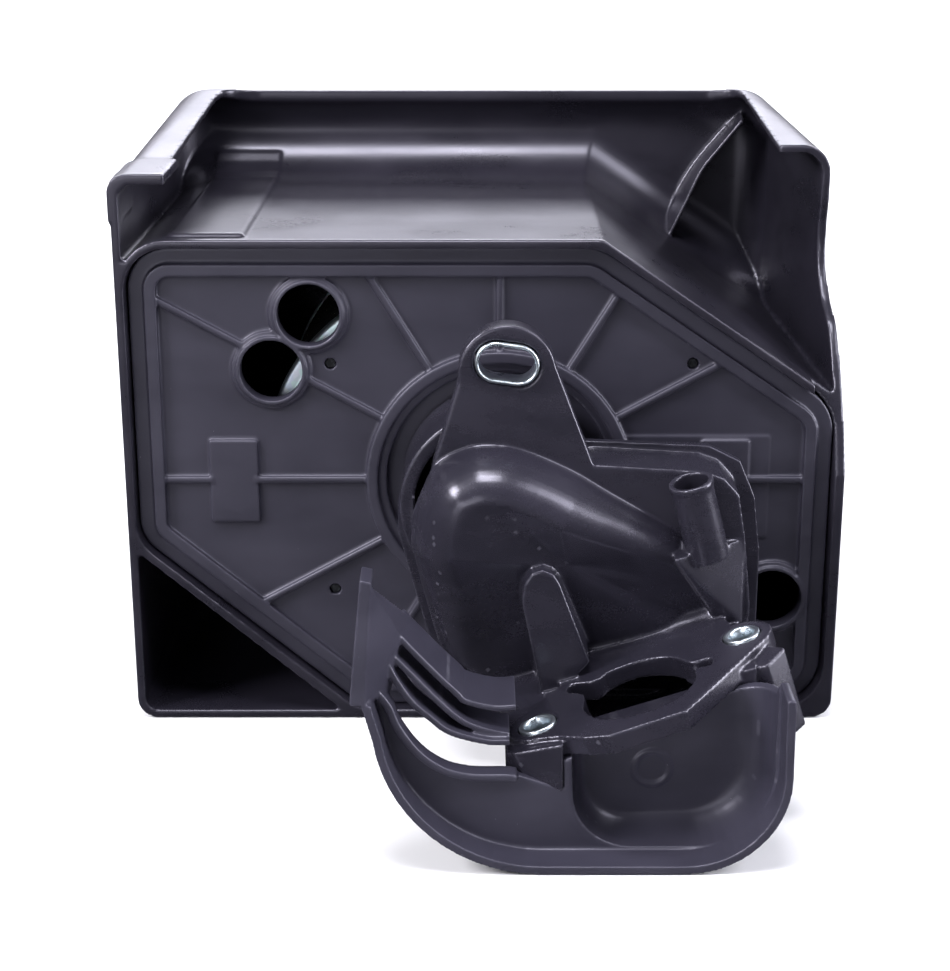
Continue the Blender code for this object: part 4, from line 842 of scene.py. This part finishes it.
# ---------------------------------------------------------------- cover
def cover_rings(shrink, front, far):
    """Rounded-box sections of the cover from rim to far face, pulled in by a wall thickness."""
    def section(t, y, extra):
        left, right, bottom, top = (a + (b - a) * t for a, b in zip(COVER_RIM, COVER_FAR))
        d, radius = shrink + extra, COVER_R + (COVER_FAR_R - COVER_R) * t
        return flat_ring(rounded_box(left + d, right - d, bottom + d, top - d, max(1.2, radius - d)), y)
    rings = [section(0.0, front, 0.0)]
    steps = 10
    for k in range(steps + 1):
        a = math.pi / 2.0 * k / steps
        rings.append(section(1.0, far - FAR_EDGE_R + FAR_EDGE_R * math.sin(a),
                             FAR_EDGE_R * (1.0 - math.cos(a))))
    return rings


NOTCH_LEFT = [(-92.8, -30.0), (-92.8, 0.0), (-93.6, 16.4), (-91.0, 96.6), (-89.2, 104.5), (-85.0, 108.6),
              (-78.0, 110.0)]
NOTCH_RIGHT = [(70.0, 110.0), (77.0, 107.5), (80.4, 101.5), (82.1, 29.0), (82.1, -30.0)]
GUSSET_EDGE = [(57.4, 51.7), (63.0, 64.0), (67.8, 74.5), (73.2, 81.5), (80.4, 90.5)]
GUSSET_ROOT = [(56.0, 56.0), (60.2, 62.0), (66.0, 72.0), (72.5, 80.6), (82.5, 92.0)]
RIGHT_RIM = [(-5.2, 2.0), (-1.0, 15.0), (4.0, 26.0), (10.0, 36.0), (15.5, 43.0), (24.0, 48.5),
             (30.0, 55.0), (32.5, 62.0), (32.5, 69.0), (31.5, 75.0), (31.0, 80.0)]
STEP_BACK = [(FILLET_Y + 21.3 * math.sin(a), 72.3 - 1.26 * a + 16.0 * (1.0 - math.cos(a)))
             for a in (0.0, 0.26, 0.52, 0.79, 1.05)]    # the step fades out up the far wall's fillet


def lip_band():
    """Thicker band round the upper left corner of the rim."""
    def ring(shift, drop, y):
        return [(x + shift, y, z + drop) for x, z in (
            (-109.1, 76.0), (-109.1, 85.0), (-107.6, 88.3), (-104.0, 89.5), (-92.8, 89.5), (-92.8, 86.6),
            (-103.0, 86.6), (-106.0, 84.0), (-106.0, 76.0))]
    return loft("lip_band", [ring(0.0, 0.0, RIM_Y), ring(1.0, 1.4, 16.2)])


def build_cover():
    cover = loft("cover_shell_look", cover_rings(0.0, RIM_Y, FAR_OUT), cutter=False)
    dead = loft("dead_space", cover_rings(WALL, RIM_Y - 3.0, FAR_IN))
    corner_arc = arc_points((-93.1, CHAMBER_TOP - CHAMBER_R), CHAMBER_R, 150.0, 90.0, 12)
    keep_pts = [(-125.0, corner_arc[0][1])] + corner_arc + [
        (28.9, CHAMBER_TOP), (115.0, 12.3), (115.0, -90.0), (-25.3, -90.0), (-125.0, -5.0)]
    rings = [flat_ring(keep_pts, -20.0), flat_ring(keep_pts, FILLET_Y)]
    steps = 16
    for k in range(1, steps + 1):
        a = math.pi / 2.0 * k / steps
        spread = FILLET_RISE * (1.0 - math.cos(a))
        rings.append(flat_ring(inset(keep_pts, -spread), FILLET_Y + (FAR_IN - FILLET_Y + 0.1) * math.sin(a)))
    rings.append(flat_ring(inset(keep_pts, -FILLET_RISE), 125.0))
    cut(dead, loft("keep", rings))
    clear = rounded(PLATE_OUTLINE, PLATE_CORNER_R)
    far_pts = [(-104.4, 68.3), (25.0, 68.3), (86.5, 26.2), (86.5, -71.0), (-42.0, -71.0), (-104.4, -20.0)]
    far = rounded(far_pts, PLATE_CORNER_R)
    chamber = loft("chamber", [
        flat_ring(inset(clear, -0.4), -20.0), flat_ring(inset(clear, -0.4), 8.0),
        flat_ring(inset(far, -0.1), FAR_IN - 8.0), flat_ring(inset(far, 4.0), FAR_IN)])
    notch = prism_z("notch", NOTCH_LEFT[:3] + smooth_line(NOTCH_LEFT[3:], False, ARC)
                    + smooth_line(NOTCH_RIGHT[:3], False, ARC) + NOTCH_RIGHT[3:], NOTCH_Z, 130.0)
    step = prism_x("step", [(113.0, 69.5), (-0.5, 69.5), (-0.5, 72.3)] + STEP_BACK, -93.1, -72.0)
    gusset = loft("gusset", [flat_ring(thick_line(smooth_line(line, False, 3), 1.3), y)
                             for line, y in ((GUSSET_EDGE, 100.0), (GUSSET_ROOT, 116.4))])
    cut(cover, dead, chamber, notch)
    above = [(31.0, 130.0), (-30.0, 130.0)]
    right = prism_x("right_rim", [(-30.0, 2.0)] + smooth_line(RIGHT_RIM, False, ARC) + above, 90.0, 130.0)
    corner = prism_x("right_corner", [(-30.0, 76.0), (31.0, 76.0)] + above, 70.0, 130.0)
    hole = prism("hole", circle(7.5, 48), 90.0, 140.0)
    panel = prism("panel", rounded_box(-84.0, 66.0, -56.0, 80.0, 10.0), FAR_OUT - 0.5, FAR_OUT + 0.7)
    dish = prism("dish", circle(27.0), FAR_OUT - 0.02, FAR_OUT + 5.0)
    join(cover, step, gusset, lip_band(), panel)
    cut(cover, right, corner, dish, hole)
    dress(mould(cover, 0.62, 4), PLASTIC, "cover", "cover_shell")


# ---------------------------------------------------------------- filter element
RIM_COUNT = 288


def embossed(x, z):
    """Height of the two pairs of pressed arcs either side of the hole."""
    radius, angle = math.hypot(x, z), math.atan2(abs(z), abs(x))
    window = max(0.0, 1.0 - (angle / math.radians(24.0)) ** 4)
    return 0.5 * window * sum(math.exp(-((radius - r) / 0.9) ** 2) for r in (32.5, 36.0))


def build_outlet_cap():
    """Pressed cap: lipped hole, flat face with embossed arcs, step, rim and rolled skirt."""
    def hole(d):
        return flatted_circle(HOLE_R - d, HOLE_FLAT - d, RIM_COUNT)

    def edge(d):
        return stadium(ELEMENT_R - d, ELEMENT_HALF, RIM_COUNT)
    rings = [flat_ring(hole(0.0), 13.2), flat_ring(hole(0.0), 9.7), flat_ring(hole(-0.15), 9.0),
             flat_ring(hole(-0.5), 8.45)]
    inner, outer = hole(-1.2), edge(6.6)
    bands = 34
    for k in range(bands + 1):
        rings.append([(x, CAP_FACE - embossed(x, z), z) for x, _, z in
                      blend_ring(inner, outer, (k / bands) ** 1.3, CAP_FACE)])
    profile = [(6.0, 8.28), (5.5, 8.55), (5.15, 9.0), (4.9, 9.8), (4.8, 10.6), (4.5, 11.2), (4.0, 11.52),
               (3.4, 11.6), (1.4, 11.6), (0.8, 11.75), (0.3, 12.15), (0.05, 12.8), (0.0, 13.4), (0.0, 16.2),
               (0.25, 16.55), (0.6, 16.6), (0.85, 16.4), (0.9, 16.0), (0.9, 13.2), (1.6, 12.5), (5.4, 12.4),
               (6.2, 9.4), (7.0, 9.1)]
    rings += [flat_ring(edge(d), y) for d, y in profile]
    rings += [flat_ring(hole(-1.2), 9.1), flat_ring(hole(-0.9), 9.6), flat_ring(hole(-0.9), 13.2)]
    cap = loft("element_outlet_cap_look", rings, True, cutter=False)
    dress(mould(cap), SHEET_STEEL, "element", "element_outlet_cap")


def build_end_cap():
    """Closed end of the element: dished centre around the stud hole, raised ring and skirt."""
    def hole(d):
        return circle_by_angle(3.6 - d, RIM_COUNT)

    def edge(d):
        return stadium(ELEMENT_R - d, ELEMENT_HALF, RIM_COUNT)
    outside = [(31.0, 94.0), (29.5, 94.1), (28.0, 94.7), (26.5, 95.1), (25.5, 95.2), (4.2, 95.2),
               (2.8, 95.15), (1.8, 94.8), (1.2, 94.2), (0.95, 93.4), (0.9, 92.4), (0.9, 89.0),
               (1.1, 88.65), (1.5, 88.6)]
    inside = [(1.8, 88.9), (1.8, 92.6), (3.0, 94.2), (26.0, 94.2), (29.0, 93.2), (31.0, 93.1)]
    rings = [flat_ring(hole(0.0), 93.1), flat_ring(hole(0.0), 94.0)]
    rings += [flat_ring(edge(d), y) for d, y in outside + inside]
    cap = loft("element_end_cap_look", rings, True, cutter=False)
    dress(mould(cap), SHEET_STEEL, "element", "element_end_cap")


def build_paper():
    """Pleated strip closed on itself: rounded folds, slightly uneven."""
    per_pleat = 14
    count = PLEATS * per_pleat
    rng = np.random.default_rng(7)
    wander = np.convolve(rng.normal(0.0, 1.0, count), np.ones(41) / 41.0, "same") * 1.6
    path = []
    for i in range(count):
        phase = i / per_pleat
        swing = math.sin(2.0 * math.pi * phase)
        swing = math.copysign(abs(swing) ** 0.55, swing)
        radius = (PLEAT_IN + PLEAT_OUT) / 2.0 + (PLEAT_OUT - PLEAT_IN) / 2.0 * swing
        tangle = 0.24 * math.sin(4.0 * math.pi * phase) + 0.12 * wander[i]
        angle = 2.0 * math.pi * (phase + tangle * 0.25) / PLEATS
        half = ELEMENT_HALF * min(1.0, max(0.0, (radius - 24.0) / 21.0))
        c, s = math.cos(angle), math.sin(angle)
        reach = stadium_reach(radius, half, c, s)
        path.append((reach * c, reach * s))
    levels = np.linspace(13.6, END_IN, 9)
    outer, inner = inset(path, -0.16), inset(path, 0.16)
    rings = [flat_ring(outer, y) for y in levels] + [flat_ring(inner, y) for y in levels[::-1]]
    paper = loft("pleated_paper_look", rings, True, cutter=False)
    dress(mould(paper), PAPER, "element", "pleated_paper")


def build_sleeve():
    """Foam wrapped round the pleats: a loose tube with a rough, pored outer face."""
    around, along = ((900, 200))
    rng = np.random.default_rng(11)
    speck = rng.normal(0.0, 1.0, (along, around))
    swell = np.sin(np.linspace(0.0, math.pi, along))
    base = np.array(stadium(1.0, 0.0, around))
    turn = np.arange(around) * 2.0 * math.pi / around
    long_wave = sum(np.sin(k * turn + p) for k, p in ((3, 0.4), (7, 1.9), (11, 4.0)))
    rings = []
    y0, y1 = CAP_SKIRT + 0.1, END_IN - 3.1
    for row in range(along):
        t = row / (along - 1)
        push = 0.45 * swell[row] + 0.10 * long_wave * swell[row] + 0.13 * speck[row]
        radius = SLEEVE_OUT - 0.25 + np.clip(push, -0.5, 0.9)
        ring = []
        for i in range(around):
            c, s = base[i]
            reach = stadium_reach(radius[i], ELEMENT_HALF, c, s)
            ring.append((reach * c, y0 + (y1 - y0) * t, reach * s))
        rings.append(ring)
    inner = stadium(SLEEVE_IN, ELEMENT_HALF, around)
    rings += [flat_ring(inner, y1), flat_ring(inner, y0)]
    sleeve = loft("foam_sleeve_look", rings, True, cutter=False)
    dress(mould(sleeve), FOAM, "element", "foam_sleeve")


# ---------------------------------------------------------------- fasteners and small parts
def build_stud():
    """Stud with a rolled thread at its outer end and a plain shank."""
    around = 36
    per_pitch = 12
    thread_start = 88.0
    rings = [flat_ring(circle(STUD_R - shrink, around), y)
             for shrink, y in ((0.6, STUD_START), (0.02, STUD_START + 0.7), (0.12, thread_start - 1.0))]
    count = int((STUD_END - 0.8 - thread_start) / PITCH * per_pitch)
    for k in range(count + 1):
        y = thread_start + k * PITCH / per_pitch
        fade = min(1.0, k / per_pitch)
        ring = []
        for i in range(around):
            angle = 2.0 * math.pi * i / around
            phase = (y / PITCH + i / around) % 1.0
            depth = 0.42 * fade * (1.0 - abs(2.0 * phase - 1.0))
            radius = STUD_R - 0.02 - depth
            ring.append((radius * math.cos(angle), y, radius * math.sin(angle)))
        rings.append(ring)
    rings.append(flat_ring(circle(STUD_R - 0.9, around), STUD_END))
    stud = loft("center_stud_look", rings, cutter=False)
    dress(mould(stud), ZINC_TURNED, "housing", "center_stud")


def build_sleeves():
    """Steel sleeves: rolled from strip, so they have a chamfer at each end."""
    shape = [(8.3, 5.25, -41.0), (8.65, 5.6, -40.7), (8.65, 5.6, -32.1), (8.3, 5.25, -31.8),
             (7.9, 4.85, -31.8), (7.65, 4.6, -32.1), (7.65, 4.6, -40.6), (7.95, 4.9, -41.0)]
    rings = [flat_ring(slot_outline(h, r), y) for h, r, y in shape]
    sleeve = loft("tab_sleeve_look", rings, True, cutter=False)
    dress(mould(sleeve), ZINC, "housing", "tab_sleeve")
    profile = [(4.75, -0.4), (5.0, -0.15), (5.0, 6.25), (4.75, 6.5), (3.75, 6.5), (3.5, 6.2), (3.5, 0.0),
               (3.85, -0.4)]
    for name, side in (("flange_sleeve_left", -1), ("flange_sleeve_right", 1)):
        rings = [[on_flange(u, w, drop) for u, w in circle(r, 48, (side * EAR_U, side * EAR_W))]
                 for r, drop in profile]
        piece = loft(name + "_look", rings, True, cutter=False)
        dress(mould(piece), ZINC, "housing", name)


def build_knob():
    """Lobed hand knob with finger flutes, a domed top and a raised ring."""
    count = 200

    def lobes(scale):
        return by_angle(lambda c, s: scale * (KNOB_R - 1.6 + 1.6 * math.cos(5.0 * math.atan2(s, c))), count)
    profile = [(0.93, 0.0), (0.975, 0.35), (1.0, 1.1), (1.0, 9.0), (0.985, 11.5), (0.95, 13.6),
               (0.88, 15.3), (0.78, 16.3), (0.66, 16.8), (0.60, 16.9), (0.57, 17.05), (0.53, 17.1),
               (0.50, 17.0), (0.47, 16.6), (0.40, 16.2), (0.2, 16.0)]
    rings = [flat_ring(lobes(scale), KNOB_FACE + y) for scale, y in profile]
    knob = loft("cover_knob_look", rings, cutter=False)
    cut(knob, prism("pocket", circle(5.3, 48), KNOB_FACE - 3.0, KNOB_FACE + 9.3))
    dress(mould(knob), PLASTIC_DULL, "knob", "cover_knob")


WING = [(3.8, 99.0), (7.0, 99.2), (12.6, 102.6), (15.6, 106.5), (15.0, 110.5), (11.5, 110.9), (7.5, 105.8),
        (3.8, 103.8)]


def build_wing_nut():
    nut = prism("element_wing_nut_look", circle(6.2, 48), 98.1, 104.5, cutter=False)
    join(nut, prism("neck_ring", circle(4.9, 48), 103.5, 105.6))
    for side in (-1, 1):
        wing = smooth_line([(side * x, y) for x, y in WING], True, 5)
        join(nut, loft("wing_%d" % side, [[(x, y, z) for x, y in wing] for z in (-1.3, 1.3)]))
    cut(nut, prism("wing_bore", circle(STUD_BORE, 40), 90.0, 120.0))
    dress(mould(nut, 0.22, 3), ZINC, "element_nut", "element_wing_nut")


def dress_cad_nodes():
    """The small parts whose CAD shape is right: softened edges and a real finish."""
    finishes = {
        ZINC: ["stud_lock_nut", "cover_washer"],
        BLACK_STEEL: ["base_screw_1", "base_screw_2", "base_screw_3", "base_screw_4"],
        SHEET_STEEL: ["element_seat"], BRASS: ["knob_insert"],
        RUBBER: ["elbow_gasket", "plate_seal", "element_gasket", "element_washer", "cover_grommet"]}
    for mat, names in finishes.items():
        for name in names:
            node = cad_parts[name]
            for i in range(len(node.material_slots)):
                node.material_slots[i].material = mat
            bevel = node.modifiers.new("soft_edges", "BEVEL")
            bevel.width = 0.00018
            bevel.segments = 2
            bevel.limit_method = "ANGLE"
            bevel.angle_limit = math.radians(35.0)


# ---------------------------------------------------------------- floor, light and camera
def build_stage():
    """Pale floor that sweeps up into a backdrop."""
    rows = [(-3.0, 0.0), (1.6, 0.0)] + arc_points((1.6, 0.8), 0.8, -80.0, 0.0, 8) + [(2.4, 4.0)]
    bm = bmesh.new()
    loops = [[bm.verts.new((x, y, z - 0.0002)) for x in (-4.0, 4.0)] for y, z in rows]
    for low, high in zip(loops, loops[1:]):
        bm.faces.new((low[0], low[1], high[1], high[0]))
    mesh = bpy.data.meshes.new("floor")
    bm.to_mesh(mesh)
    bm.free()
    floor = bpy.data.objects.new("floor", mesh)
    bpy.context.scene.collection.objects.link(floor)
    for poly in mesh.polygons:
        poly.use_smooth = True
    g = Graph("pale_floor")
    tone = g.ramp(g.noise(3.0, 3.0), [(0.3, (0.80, 0.80, 0.81)), (0.7, (0.84, 0.84, 0.85))])
    floor.data.materials.append(g.set(Base_Color=tone, Roughness=0.6))
    floor.visible_glossy = False


LIGHTS = [                                      # name, place, size, power, colour, aim
    ("back_box", (0.0, 1.5, 0.86), (2.6, 0.36), 27.0, (0.90, 0.90, 1.0), HUB),
    ("backdrop_box", (0.0, 1.0, 1.0), (2.4, 0.5), 30.0, (1.0, 1.0, 1.0), (0.0, 2.3, 0.1)),
    ("top_box", (-0.1, -0.3, 1.2), (0.45, 0.35), 13.0, (0.96, 0.96, 1.0), HUB),
    ("left_box", (-1.0, -0.5, 0.85), (0.45, 0.55), 25.0, (0.98, 0.97, 1.0), HUB),
    ("front_box", (-0.55, -1.25, 0.25), (0.9, 0.4), 4.5, (0.96, 0.96, 1.0), HUB),
    ("right_box", (0.85, -0.4, 1.0), (0.5, 0.5), 8.0, (0.94, 0.94, 1.0), HUB),
    ("low_right_box", (1.1, -0.15, 0.3), (0.4, 0.6), 14.0, (0.94, 0.94, 1.0), HUB)]
CAMERA_PLACE, CAMERA_TILT, LENS = Vector((-0.007, -0.5399, 0.1733)), math.radians(72.0), 72.0


def area_light(name, place, size, energy, colour, target):
    data = bpy.data.lights.new(name, "AREA")
    data.shape = "RECTANGLE"
    data.size, data.size_y = size
    data.energy = energy
    data.color = colour
    lamp = bpy.data.objects.new(name, data)
    lamp.location = place
    lamp.rotation_euler = (Vector(target) - Vector(place)).to_track_quat("-Z", "Y").to_euler()
    bpy.context.scene.collection.objects.link(lamp)


def build_light_and_camera():
    world = bpy.data.worlds.new("soft_studio")
    world.use_nodes = True
    tree = world.node_tree
    tree.nodes["Background"].inputs["Color"].default_value = (0.90, 0.90, 1.0, 1.0)
    direction = tree.nodes.new("ShaderNodeSeparateXYZ")
    tree.links.new(tree.nodes.new("ShaderNodeTexCoord").outputs["Generated"], direction.inputs[0])
    height = tree.nodes.new("ShaderNodeMapRange")
    for socket, value in zip(RANGE_SOCKETS, (-0.06, 0.25, 0.045, 0.20)):
        height.inputs[socket].default_value = value
    tree.links.new(direction.outputs["Z"], height.inputs["Value"])
    tree.links.new(height.outputs["Result"], tree.nodes["Background"].inputs["Strength"])
    bpy.context.scene.world = world
    for light in LIGHTS:
        area_light(*light)
    camera_data = bpy.data.cameras.new("camera")
    camera_data.lens = LENS
    camera_data.sensor_width = 36.0
    camera_data.clip_start = 0.01
    camera = bpy.data.objects.new("camera", camera_data)
    camera.location = HUB + CAMERA_PLACE
    camera.rotation_euler = (CAMERA_TILT, 0.0, 0.0)
    bpy.context.scene.collection.objects.link(camera)
    bpy.context.scene.camera = camera
    bpy.context.scene.view_settings.view_transform = "Standard"


for build in (build_plate, build_elbow, build_guard, build_cover, build_outlet_cap, build_end_cap,
              build_paper, build_sleeve, build_stud, build_sleeves, build_knob, build_wing_nut,
              dress_cad_nodes, build_stage, build_light_and_camera):
    build()
